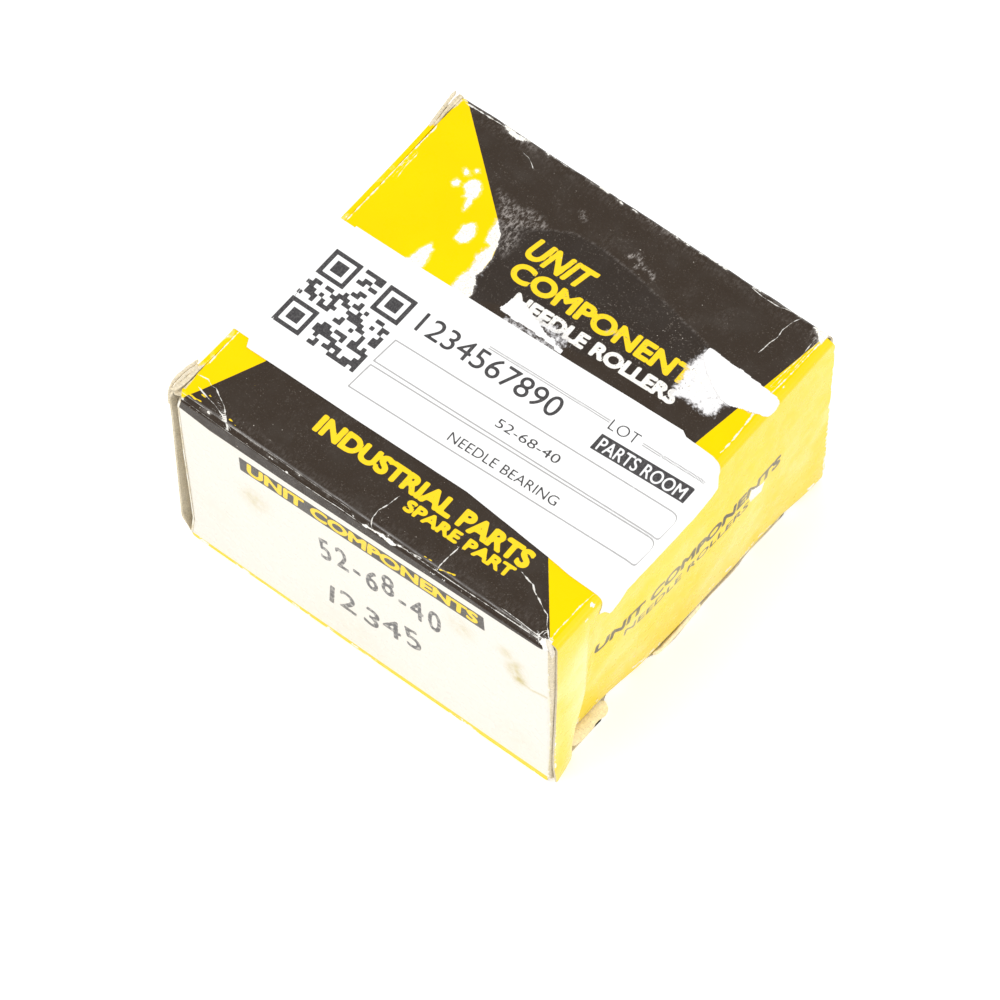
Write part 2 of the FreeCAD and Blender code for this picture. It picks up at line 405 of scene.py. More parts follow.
def patch(name, outline, place, thick, cell, mats, attrs=None, fray=0.0, seed=1):
    """a closed scrap of paper with an irregular outline. outline is in the plane of place(x, y) -> P, N"""
    pts = np.array(outline, float)
    lo, hi = pts.min(0) - cell, pts.max(0) + cell
    xs, ys = np.arange(lo[0], hi[0] + cell, cell), np.arange(lo[1], hi[1] + cell, cell)
    X, Y = np.meshgrid(xs, ys, indexing="ij")
    segs = poly_segs(pts)
    D = seg_dist(X, Y, segs).reshape(X.shape)
    if fray:
        D = D + fray * noise(at2(X, Y), 0.9, seed) + 0.5 * fray * noise(at2(X, Y), 0.4, seed + 1)
    inside = D > 0
    cells = inside[:-1, :-1] & inside[1:, :-1] & inside[1:, 1:] & inside[:-1, 1:]
    # keep the biggest pieces only: cells with a neighbour on two sides
    for _ in range(3):
        p = np.pad(cells, 1)
        nb = p[:-2, 1:-1].astype(int) + p[2:, 1:-1] + p[1:-1, :-2] + p[1:-1, 2:]
        cells &= nb >= 2
    # no cells that touch at just one corner
    for _ in range(4):
        d1 = cells[:-1, :-1] & cells[1:, 1:] & ~cells[1:, :-1] & ~cells[:-1, 1:]
        d2 = cells[1:, :-1] & cells[:-1, 1:] & ~cells[:-1, :-1] & ~cells[1:, 1:]
        if not (d1.any() or d2.any()):
            break
        cells[:-1, :-1][d1] = False
        cells[1:, :-1][d2] = False
    used = np.zeros(X.shape, bool)
    for a in (slice(0, -1), slice(1, None)):
        for b in (slice(0, -1), slice(1, None)):
            used[a, b] |= cells
    # pull the rim vertices out to the outline
    gx, gy = np.gradient(D, cell)
    g = np.maximum(np.hypot(gx, gy), 0.2)
    inner = np.zeros_like(used)
    inner[1:-1, 1:-1] = cells[:-1, :-1] & cells[1:, :-1] & cells[:-1, 1:] & cells[1:, 1:]
    rim = used & ~inner
    push = np.clip(D, 0, 0.45 * cell)
    Xs = np.where(rim, X - gx / g * push, X)
    Ys = np.where(rim, Y - gy / g * push, Y)
    idx = -np.ones(X.shape, int)
    idx[used] = np.arange(used.sum())
    P, N = place(Xs[used], Ys[used])
    n = len(P)
    V = np.vstack([P, P - N * thick])
    ii, jj = np.nonzero(cells)
    top = np.stack([idx[ii, jj], idx[ii + 1, jj], idx[ii + 1, jj + 1], idx[ii, jj + 1]], -1)
    a, b, c = V[top[:, 0]], V[top[:, 1]], V[top[:, 3]]
    if (np.cross(b - a, c - a) * N[top[:, 0]]).sum() < 0:
        top = top[:, ::-1]
    edges = {}
    for f in top.tolist():
        for q in range(4):
            e = (f[q], f[(q + 1) % 4])
            edges[e] = True
    side = [[b_, a_, a_ + n, b_ + n] for a_, b_ in edges if (b_, a_) not in edges]
    faces = top.tolist() + (top[:, ::-1] + n).tolist() + side
    me = bpy.data.meshes.new(name)
    me.from_pydata((V / 1000).tolist(), [], faces)
    me.polygons.foreach_set("use_smooth", np.ones(len(faces), bool))
    mi = np.zeros(len(faces), np.int32)
    mi[len(top) * 2:] = 1 if len(mats) > 1 else 0
    me.polygons.foreach_set("material_index", mi)
    at = me.attributes.new("p", "FLOAT_VECTOR", "POINT")
    at.data.foreach_set("vector", V.astype(np.float32).ravel())
    ed = np.clip(D[used], 0, 5)
    a_ = me.attributes.new("edge", "FLOAT", "POINT")
    a_.data.foreach_set("value", np.concatenate([ed, ed]).astype(np.float32))
    return finish_mesh(name, me, mats)


# ---------------------------------------------------------------- materials
class G:
    """a small helper for writing shader node trees"""

    def __init__(self, name):
        self.m = bpy.data.materials.new(name)
        self.m.use_nodes = True
        self.t = self.m.node_tree
        self.b = next(n for n in self.t.nodes if n.type == "BSDF_PRINCIPLED")

    def node(self, kind, **kw):
        n = self.t.nodes.new(kind)
        for k, v in kw.items():
            setattr(n, k, v)
        return n

    def put(self, sock, v):
        if isinstance(v, bpy.types.NodeSocket):
            self.t.links.new(v, sock)
        elif isinstance(v, (tuple, list)) and len(v) == 3 and sock.type == "RGBA":
            sock.default_value = (*v, 1)
        else:
            sock.default_value = v

    def attr(self, name, vec=False):
        n = self.node("ShaderNodeAttribute", attribute_name=name)
        return n.outputs["Vector"] if vec else n.outputs["Fac"]

    def math(self, op, a, b=0.0, clamp=False):
        n = self.node("ShaderNodeMath", operation=op, use_clamp=clamp)
        self.put(n.inputs[0], a)
        self.put(n.inputs[1], b)
        return n.outputs[0]

    def mix(self, f, a, b, mode="MIX"):
        n = self.node("ShaderNodeMix", data_type="RGBA", blend_type=mode)
        self.put(n.inputs["Factor"], f)
        ca = [s for s in n.inputs if s.name == "A" and s.type == "RGBA"][0]
        cb = [s for s in n.inputs if s.name == "B" and s.type == "RGBA"][0]
        self.put(ca, a)
        self.put(cb, b)
        return [s for s in n.outputs if s.type == "RGBA"][0]

    def fmix(self, f, a, b):
        n = self.node("ShaderNodeMix", data_type="FLOAT")
        self.put(n.inputs["Factor"], f)
        s = [q for q in n.inputs if q.type == "VALUE" and q.name in ("A", "B")]
        self.put(s[0], a)
        self.put(s[1], b)
        return [q for q in n.outputs if q.type == "VALUE"][0]

    def ramp(self, v, a, b, lo=0.0, hi=1.0):
        n = self.node("ShaderNodeMapRange", interpolation_type="SMOOTHSTEP")
        self.put(n.inputs["Value"], v)
        n.inputs["From Min"].default_value = a
        n.inputs["From Max"].default_value = b
        n.inputs["To Min"].default_value = lo
        n.inputs["To Max"].default_value = hi
        return n.outputs["Result"]

    def noise(self, size, detail=2.0, rough=0.5, vec=None, stretch=None):
        """0..1 noise with features about size mm"""
        if vec is None:
            vec = self.attr("p", True)
        if stretch:
            mp = self.node("ShaderNodeMapping")
            self.put(mp.inputs["Vector"], vec)
            mp.inputs["Scale"].default_value = stretch
            vec = mp.outputs[0]
        n = self.node("ShaderNodeTexNoise")
        self.put(n.inputs["Vector"], vec)
        n.inputs["Scale"].default_value = 1.0 / size
        n.inputs["Detail"].default_value = detail
        n.inputs["Roughness"].default_value = rough
        return n.outputs["Fac"]

    def edge(self, d, soft=0.05, jitter=0.0, size=0.5, shift=0.0):
        """1 where the signed distance d is positive, with an edge that wanders by jitter mm"""
        if jitter:
            n = self.math("MULTIPLY", self.math("SUBTRACT", self.noise(size, 3), 0.5), 2 * jitter)
            d = self.math("ADD", d, n)
        if shift:
            d = self.math("ADD", d, shift)
        return self.ramp(d, -soft, soft)

    def bump(self, height, strength, dist=0.0001, normal=None):
        n = self.node("ShaderNodeBump")
        n.inputs["Strength"].default_value = strength
        n.inputs["Distance"].default_value = dist
        self.put(n.inputs["Height"], height)
        if normal is not None:
            self.put(n.inputs["Normal"], normal)
        return n.outputs[0]

    def out(self, color, rough, normal=None, spec=0.5, metal=None, coat=None):
        self.put(self.b.inputs["Base Color"], color)
        self.put(self.b.inputs["Roughness"], rough)
        self.put(self.b.inputs["Specular IOR Level"], spec)
        if metal is not None:
            self.put(self.b.inputs["Metallic"], metal)
        if coat is not None:
            self.put(self.b.inputs["Coat Weight"], coat)
            self.b.inputs["Coat Roughness"].default_value = 0.25
        if normal is not None:
            self.put(self.b.inputs["Normal"], normal)
        return self.m


YELLOW = (0.86, 0.597, 0.0)
CREAM = (0.755, 0.725, 0.650)
BLACK = (0.0200, 0.0092, 0.0016)
WHITE = (0.86, 0.85, 0.81)
RAW = (0.60, 0.525, 0.375)


def raw_color(g, dark=1.0, base=RAW):
    f1 = g.noise(0.35, 4, 0.65)
    f2 = g.noise(2.6, 3, 0.6)
    c = g.mix(g.ramp(f1, 0.3, 0.7), tuple(v * (0.72 if base is RAW else 0.86) * dark for v in base), tuple(v * 1.18 * dark for v in base))
    pale = (0.68, 0.61, 0.48) if base is RAW else tuple(v * 1.1 for v in base)
    c = g.mix(g.math("MULTIPLY", g.ramp(f2, 0.35, 0.75), 0.45), c, tuple(v * dark for v in pale))
    sp = g.ramp(g.noise(0.22, 2), 0.66, 0.74)
    return g.mix(g.math("MULTIPLY", sp, 0.6), c, (0.16, 0.12, 0.09))


def make_print():
    g = G("printed_board")
    A = g.attr
    n_big = g.noise(11, 3)
    n_mid = g.noise(1.7, 3, 0.6)
    n_fine = g.noise(0.30, 2, 0.6)
    col = g.mix(g.ramp(n_big, 0.3, 0.7), YELLOW, tuple(v * 0.965 for v in YELLOW))
    col = g.mix(A("gloss"), col, g.mix(g.ramp(n_big, 0.3, 0.7), (0.79, 0.600, 0.010), (0.785, 0.580, 0.006)))
    cream = g.mix(g.ramp(n_mid, 0.3, 0.75), CREAM, (0.748, 0.716, 0.640))
    col = g.mix(g.edge(A("d_cream"), 0.05, 0.03), col, cream)
    # fine worn-through ink along edges of the print
    blk_m = g.edge(A("d_black"), 0.045, 0.035, 0.4)
    speck = g.ramp(n_fine, 0.58, 0.78)
    ink = g.mix(g.math("MULTIPLY", speck, 0.55), BLACK, (0.048, 0.037, 0.030))
    ink = g.mix(g.ramp(g.noise(5, 3), 0.45, 0.8, 0, 0.5), ink, (0.038, 0.028, 0.020))
    ink = g.mix(g.math("MULTIPLY", A("ghost"), 0.45), ink, (0.0085, 0.0035, 0.0008))
    col = g.mix(blk_m, col, ink)
    col = g.mix(g.edge(A("d_box"), 0.05, 0.02), col, (0.060, 0.050, 0.038))
    col = g.mix(g.edge(A("d_yt"), 0.04, 0.02, 0.3), col, tuple(v * 0.98 for v in YELLOW))
    col = g.mix(g.edge(A("d_wt"), 0.04, 0.03, 0.3), col, (0.80, 0.78, 0.73))
    col = g.mix(g.math("MULTIPLY", g.edge(A("d_dt"), 0.05, 0.03, 0.3), 0.97), col, (0.040, 0.030, 0.030))
    stamp = g.math("MULTIPLY", g.edge(A("d_st"), 0.06, 0.07, 0.35), g.ramp(g.noise(0.55, 3), 0.28, 0.55, 0.45, 0.95))
    col = g.mix(stamp, col, (0.060, 0.056, 0.058))
    # handling dirt and stains
    col = g.mix(g.math("MULTIPLY", A("stain"), g.ramp(n_mid, 0.2, 0.65)), col, (0.50, 0.405, 0.13))
    grey = g.math("MULTIPLY", A("scuff"), g.ramp(g.noise(0.42, 5, 0.8, stretch=(1.0, 0.45, 1.0)), 0.46, 0.62))
    col = g.mix(grey, col, (0.42, 0.38, 0.35))
    # residue of the old label: torn paper fibres that the glue held
    res = g.math("ADD", A("resid"), g.math("MULTIPLY", g.math("SUBTRACT", g.noise(0.75, 5, 0.75), 0.5), 1.5))
    res_m = g.ramp(res, 0.34, 0.74)
    col = g.mix(g.math("MULTIPLY", res_m, 0.92), col, g.mix(g.ramp(res, 0.45, 0.85), (0.50, 0.49, 0.50), (0.84, 0.83, 0.83)))
    # painted sheen and faded ink: a pale wash on the lid
    col = g.mix(g.math("MULTIPLY", A("fade"), g.ramp(n_mid, 0.1, 0.6, 0.6, 1.0)), col, (0.90, 0.80, 0.42))
    # random pin-prick wear everywhere on the ink
    pin = g.math("MULTIPLY", g.ramp(g.noise(0.42, 1), 0.755, 0.79), g.ramp(g.noise(6, 2), 0.42, 0.66))
    pin = g.math("MULTIPLY", pin, blk_m)
    col = g.mix(pin, col, (0.55, 0.50, 0.44))
    grit = g.math("MULTIPLY", g.ramp(g.noise(0.26, 2), 0.60, 0.74), g.ramp(g.noise(3.2, 3), 0.34, 0.66, 0.16, 0.70))
    grit = g.math("MULTIPLY", grit, g.math("ADD", 0.8, g.math("MULTIPLY", A("ghost"), 0.9)), clamp=True)
    col = g.mix(g.math("MULTIPLY", grit, blk_m), col, (0.135, 0.113, 0.094))
    # chips down to the white ply and cracks
    w = g.math("ADD", A("d_white"), g.math("MULTIPLY", g.math("SUBTRACT", g.noise(0.50, 4, 0.75), 0.5), 0.56))
    w = g.math("ADD", w, g.math("MULTIPLY", g.math("SUBTRACT", g.noise(1.3, 3, 0.6), 0.5), 1.3))
    w_m = g.ramp(w, -0.02, 0.03)
    halo = g.math("MULTIPLY", g.ramp(g.math("ADD", w, g.math("MULTIPLY", g.math("SUBTRACT", n_fine, 0.5), 0.5)), -0.42, -0.02), g.math("SUBTRACT", g.math("SUBTRACT", 0.32, g.math("MULTIPLY", blk_m, 0.10)), g.math("MULTIPLY", A("gloss"), 0.34), clamp=True))
    col = g.mix(halo, col, g.mix(blk_m, (0.88, 0.80, 0.46), (0.40, 0.37, 0.34)))
    # hairline cracks: zero of a signed offset, broken along its length
    cw = g.math("MULTIPLY", A("c_w"), g.ramp(g.noise(1.3, 3, 0.6), 0.36, 0.64, 0.05, 1.25))
    ck = g.ramp(g.math("SUBTRACT", cw, g.math("ABSOLUTE", A("c_s"))), -0.03, 0.035)
    ck = g.math("MULTIPLY", g.math("MULTIPLY", ck, g.ramp(A("c_w"), 0.02, 0.05)), 0.86)
    w_m = g.math("MAXIMUM", w_m, ck)
    wcol = g.mix(g.ramp(n_fine, 0.4, 0.75), WHITE, (0.66, 0.61, 0.52))
    col = g.mix(w_m, col, wcol)
    r = g.math("ADD", A("d_raw"), g.math("MULTIPLY", g.math("SUBTRACT", g.noise(0.8, 4, 0.7), 0.5), 0.55))
    r_m = g.ramp(r, -0.06, 0.10)
    col = g.mix(r_m, col, raw_color(g, 1.12))
    worn = g.math("MAXIMUM", g.math("MAXIMUM", w_m, r_m), res_m)
    rough = g.fmix(worn, g.ramp(g.noise(2.2, 4), 0.3, 0.75, 0.22, 0.40), 0.85)
    # surface: coat texture, fibres, sunken chips and cracks, raised label residue, sunken creases
    h = g.math("ADD", g.math("MULTIPLY", g.noise(0.5, 4), 0.10), g.math("MULTIPLY", g.noise(4.0, 2), 0.45))
    h = g.math("SUBTRACT", h, g.math("MULTIPLY", w_m, 0.9))
    h = g.math("ADD", h, g.math("MULTIPLY", res_m, 1.1))
    h = g.math("ADD", h, g.math("MULTIPLY", A("crease"), -2.5))
    nrm = g.bump(h, 0.5, 0.00005)
    return g.out(col, rough, nrm, spec=g.fmix(worn, g.fmix(blk_m, g.fmix(A("gloss"), 0.05, 0.25), g.fmix(A("gloss"), 0.40, 0.14)), 0.12), coat=None)


def make_raw(name, dark=1.0, layered=False, base=RAW):
    g = G(name)
    col = raw_color(g, dark, base)
    fib = g.noise(0.5, 5, 0.7, stretch=(0.35, 0.35, 2.2) if layered else (0.4, 1.6, 1.6))
    col = g.mix(g.ramp(fib, 0.35, 0.7, 0, 0.35), col, (0.62 * dark, 0.57 * dark, 0.48 * dark) if base is RAW else tuple(v * 0.7 * dark for v in base))
    nrm = g.bump(g.math("ADD", fib, g.noise(0.2, 3)), 0.6, 0.00008)
    return g.out(col, 0.9, nrm, spec=0.12)


def make_label(name="label_paper"):
    g = G(name)
    A = g.attr
    col = g.mix(g.ramp(g.noise(9, 4), 0.35, 0.7), (0.845, 0.845, 0.84), (0.80, 0.80, 0.79))
    col = g.mix(g.math("MULTIPLY", A("stain"), g.ramp(g.noise(0.8, 4), 0.35, 0.7)), col, (0.50, 0.47, 0.42))
    dark = g.mix(g.ramp(g.noise(0.25, 3), 0.35, 0.75), (0.030, 0.028, 0.030), (0.085, 0.08, 0.08))
    thin = g.math("MULTIPLY", g.edge(A("d_line"), 0.05, 0.02), 0.75)
    col = g.mix(thin, col, (0.22, 0.21, 0.21))
    col = g.mix(g.edge(A("d_ink"), 0.035, 0.012, 0.25), col, dark)
    col = g.mix(g.edge(A("d_inv"), 0.035, 0.01), col, (0.80, 0.80, 0.80))
    col = g.mix(g.math("MULTIPLY", g.ramp(g.noise(0.35, 2), 0.74, 0.77), 0.35), col, (0.45, 0.40, 0.34))
    nrm = g.bump(g.math("ADD", g.math("MULTIPLY", g.noise(0.25, 4), 0.5), g.noise(5, 2)), 0.35, 0.00005)
    return g.out(col, g.ramp(g.noise(3, 3), 0.3, 0.7, 0.48, 0.62), nrm, spec=0.35)


def make_scrap():
    g = G("torn_paper")
    A = g.attr
    fib = g.noise(0.6, 5, 0.75)
    col = g.mix(g.ramp(fib, 0.4, 0.75), (0.86, 0.855, 0.85), (0.76, 0.75, 0.74))
    e = g.ramp(A("edge"), 0.0, 0.8, 1, 0)
    col = g.mix(g.math("MULTIPLY", e, g.ramp(g.noise(0.4, 4), 0.45, 0.65)), col, (0.74, 0.72, 0.70))
    nrm = g.bump(fib, 0.9, 0.00012)
    return g.out(col, 0.9, nrm, spec=0.1)


def make_steel(name, base, rough, streak, spots=0.0):
    g = G(name)
    tc = g.node("ShaderNodeTexCoord").outputs["Object"]
    mp = g.node("ShaderNodeMapping")
    g.put(mp.inputs["Vector"], tc)
    mp.inputs["Scale"].default_value = (1000, 1000, 1000)
    v = mp.outputs[0]
    s = g.noise(1.0, 4, 0.6, vec=v, stretch=streak)
    m = g.noise(6.0, 4, 0.6, vec=v)
    f = g.noise(0.3, 3, 0.6, vec=v)
    col = g.mix(g.ramp(s, 0.3, 0.7), base, tuple(c * 0.78 for c in base))
    col = g.mix(g.ramp(m, 0.5, 0.8, 0, 0.35), col, tuple(c * q for c, q in zip(base, (0.85, 0.74, 0.58))))
    if spots:
        col = g.mix(g.ramp(f, 0.70, 0.76, 0, spots), col, (0.09, 0.065, 0.045))
    r = g.fmix(g.ramp(s, 0.3, 0.7), rough * 0.8, rough * 1.35)
    nrm = g.bump(g.math("ADD", s, g.math("MULTIPLY", f, 0.3)), 0.25, 0.00002)
    return g.out(col, r, nrm, spec=0.5, metal=1.0)


M_PRINT = make_print()
M_RAW = make_raw("raw_board")
M_RAW_IN = make_raw("raw_board_inside", 0.92)
M_CUT = make_raw("cut_edge", 1.0, True)
M_LABEL = make_label()
M_SCRAP = make_scrap()
M_RING = make_steel("ground_steel", (0.63, 0.63, 0.64), 0.22, (0.15, 0.15, 3.0), 0.25)
M_CAGE = make_steel("cage_steel", (0.40, 0.385, 0.36), 0.42, (1, 1, 1), 0.35)
M_NEEDLE = make_steel("needle_steel", (0.78, 0.78, 0.79), 0.10, (0.3, 0.3, 4.0), 0.0)


def print_attrs(shape, **kw):
    base = {k: np.full(shape, -9.0) for k in ("d_cream", "d_black", "d_box", "d_yt", "d_wt", "d_dt", "d_st", "d_white", "d_raw")}
    base.update({k: np.zeros(shape) for k in ("stain", "scuff", "resid", "crease", "fade", "c_w", "gloss", "ghost")})
    base["c_s"] = np.full(shape, 1.2)
    for k, v in kw.items():
        base[k] = v
    return base


# ---------------------------------------------------------------- 1. the sleeve: four panels in one loop
def rows_of_sleeve():
    rows = []                                  # y, z, ny, nz, v, part

    def flat(n, f):
        for i in range(n):
            rows.append(f(i / n))

    def arc(n, cy, cz, r, a0, a1, v0, v1, part):
        for i in range(n):
            a = math.radians(a0 + (a1 - a0) * i / n)
            t = i / n
            rows.append((cy + r * math.sin(a), cz + r * math.cos(a), math.sin(a), math.cos(a), v0 + (v1 - v0) * t, part))

    yb, yf = HD - R_BT, -HD + R_FT
    flat(240, lambda t: (yb + (yf - yb) * t, H, 0, 1, yb + (yf - yb) * t, 0))
    arc(12, yf, H - R_FT, R_FT, 0, -90, yf, -HD - R_FT, 1)
    z0, z1 = H - R_FT, R_LOW
    flat(140, lambda t: (-HD, z0 + (z1 - z0) * t, -1, 0, -HD - (H - (z0 + (z1 - z0) * t)), 2))
    arc(8, -HD + R_LOW, R_LOW, R_LOW, -90, -180, -HD - H + R_LOW, -HD - H - R_LOW, 3)
    ya, yb2 = -HD + R_LOW, HD - R_LOW
    flat(48, lambda t: (ya + (yb2 - ya) * t, 0, 0, -1, -HD - H - (HD + ya + (yb2 - ya) * t), 4))
    arc(8, HD - R_LOW, R_LOW, R_LOW, -180, -270, -160, -161, 5)
    flat(40, lambda t: (HD, R_LOW + (H - R_BT - R_LOW) * t, 1, 0, HD + H - (R_LOW + (H - R_BT - R_LOW) * t), 6))
    arc(12, HD - R_BT, H - R_BT, R_BT, 90, 0, HD + R_BT, HD - R_BT, 7)
    return rows


def x_left_front(z):
    return np.interp(z, [0, .75, 5.9, 12.4, 25, 38.9, 41, 42.6], [-36.6, -36.87, -36.15, -36.35, -36.85, -37.1, -36.6, -36.1])


def bottom_edge(y):
    """the raw right edge of the bottom panel, torn back for some millimetres"""
    e = np.interp(y, [-35.6, -34.5, -31.2, -30.2, -24.2, -21.2, -20.0, -19.2, -9.0, -7.6, -6.3, -3.4, -0.2, 4.2, 8.0, 12.3, 16.1, 21.0, 26.4, 27.5, 35.6],
                  [34.6, 35.0, 35.2, 35.6, 35.7, 35.75, 35.2, 33.6, 33.2, 34.9, 35.6, 35.8, 35.85, 35.5, 35.55, 35.8, 35.45, 35.7, 35.7, 35.1, 34.9])
    return e + 0.10 * fbm(at2(np.asarray(y, float), np.zeros_like(y)), 2.0, 21)


rows = rows_of_sleeve()
ry, rz, rny, rnz, rv, part = (np.array(c, float) for c in zip(*rows))
part = part.astype(int)
C = 253
u = np.linspace(0, 1, C)
xl = np.empty(len(rows))
xr = np.empty(len(rows))
RD = 0.62                                      # radius of the dust flaps' folds
for i in range(len(rows)):
    pt, z, y = part[i], rz[i], ry[i]
    t = (i - np.nonzero(part == pt)[0][0]) / (part == pt).sum()
    fl, fr = x_left_front(z) + RD, HW - 0.43 - RD
    if pt == 0:
        xl[i], xr[i] = X_RAW_L + 0.06 * noise(np.array([y, 0., 0.]), 0.8, 5), S_LID
    elif pt == 1:
        xl[i], xr[i] = X_RAW_L + (fl - X_RAW_L) * t, S_LID + (fr - S_LID) * t
    elif pt == 2:
        xl[i], xr[i] = fl, fr
    elif pt == 3:
        xl[i], xr[i] = fl + (-36.2 - fl) * t, fr + (34.6 - fr) * t
    elif pt == 4:
        xl[i], xr[i] = -36.2, float(bottom_edge(np.array([y]))[0])
    elif pt == 5:
        xl[i], xr[i] = -36.2 + 0.25 * t, 34.9 + (fr - 34.9) * t
    elif pt == 6:
        xl[i], xr[i] = -HW + 0.43 + RD, fr
    else:
        xl[i], xr[i] = -35.95 + (X_RAW_L + 35.95) * t, fr + (S_LID - fr) * t
X = xl[:, None] + (xr - xl)[:, None] * u[None]
Yg, Zg = np.broadcast_to(ry[:, None], X.shape).copy(), np.broadcast_to(rz[:, None], X.shape).copy()
Vg = np.broadcast_to(rv[:, None], X.shape)
Ng = np.stack([np.zeros_like(X), np.broadcast_to(rny[:, None], X.shape), np.broadcast_to(rnz[:, None], X.shape)], -1).copy()
topw = (part == 0)[:, None] * 1.0
# the top follows the shared waviness; folds are slightly crushed and the walls lean in a little
Zg += ripple(X, Yg) * np.where((part == 0)[:, None], 1, 0) * smooth(HD - R_BT - np.abs(Yg) + 0.3, 0, 2.5)
Zg += np.where((part == 0)[:, None], -0.02, 0)
fold = ((part == 1) | (part == 7))[:, None]
crush = 0.16 * np.clip(fbm(np.stack([X, Yg * 0.3, Zg * 0.3], -1), 5.0, 31), -1, 1) - 0.10
crush = crush * np.where(fold, np.sin(np.clip(np.abs(rnz), 0, 1) * math.pi)[:, None], 0)
P = np.stack([X, Yg, Zg], -1)
P += Ng * crush[..., None]
wall = ((part == 2) | (part == 6))[:, None]
hz = np.clip(Zg / H, 0, 1)
bow = (0.10 * fbm(np.stack([X, Yg, Zg], -1), 18.0, 41) - 0.12) * np.sin(hz * math.pi) ** 0.5
P += Ng * (bow * wall)[..., None]

XX, VV = X, np.array(Vg)
k0 = print_attrs(X.shape)
black = Field(XX, VV)
black.poly([(-37.3, 36.5), (-35.22, 34.72), (-25.66, 26.8), (-17.68, 20.13), (-15.97, 18.26), (-14.87, 16.39),
            (-14.06, 14.1), (-13.85, 11.72), (-14.13, 10.14), (-14.52, 7.17), (-15.67, 4.92), (-18.24, 0.1), (-21, -6), (28.5, -6),
            (30.45, 0.1), (31.41, 7.17), (35.46, 34.83), (35.72, 36.76), (36.3, 39.4), (10, 39.9), (-37.2, 39.2)], margin=2)
black.poly([(-21, -7), (-27.24, -16.62), (-29.81, -22.41), (-35.91, -36.23), (-37.4, -37.4), (-37.4, -39.02),
            (-30.45, -39.99), (-14.39, -39.8), (-0.26, -39.22), (11.31, -38.7), (24.15, -37.93), (33.79, -37.41),
            (34.9, -37.15), (35.07, -33.98), (26.08, -22.92), (20.94, -16.62), (14, -7)], margin=2)
cream = np.minimum(-36.6 - VV, VV + 76.85 - 0.0075 * (XX + 37))
cream = np.where(VV > 30, np.minimum(VV - 38.0, 77.4 - VV), cream)
cream = np.where((part == 4)[:, None] | (part == 3)[:, None] | (part == 5)[:, None], -1.0, cream)
k0["d_black"] = black.a
k0["d_cream"] = cream

yt = Field(XX, VV)
yt.text("UNIT", (-10.34, 17.59), (0.71, 17.98), 3.9, 0.20, 0.22)
yt.text("COMPONENTS", (-10.15, 13.03), (26.4, 13.98), 3.3, 0.22, 0.0)
yt.text("INDUSTRIAL PARTS", (-16.19, -27.36), (24.47, -26.85), 3.0, 0.23)
yt.text("SPARE PART", (3.47, -30.0), (23.64, -29.61), 2.0, 0.14)
box = Field(XX, VV)
zf = lambda z: -HD - (H - z)
box.poly([(-24.67, zf(36.27)), (23.51, zf(38.4)), (23.7, zf(34.46)), (-24.54, zf(32.52))])
yt.text("UNIT COMPONENTS", (-22.9, zf(33.05)), (22.3, zf(35.0)), 2.75, 0.20, 0.12)
k0["d_box"] = box.a
k0["d_yt"] = yt.a
wt = Field(XX, VV)
wt.text("NEEDLE ROLLERS", (-6.68, 9.1), (24.15, 10.0), 2.45, 0.19)
k0["d_wt"] = wt.a
st = Field(XX, VV)
st.text("52-68-40", (-8.93, zf(23.4)), (15.03, zf(24.1)), 5.6, 0.10, 0, 1.0, 3)
st.text("12345", (-7.64, zf(11.1)), (11.11, zf(12.9)), 5.2, 0.10, 0, 1.4, 8)
k0["d_st"] = st.a

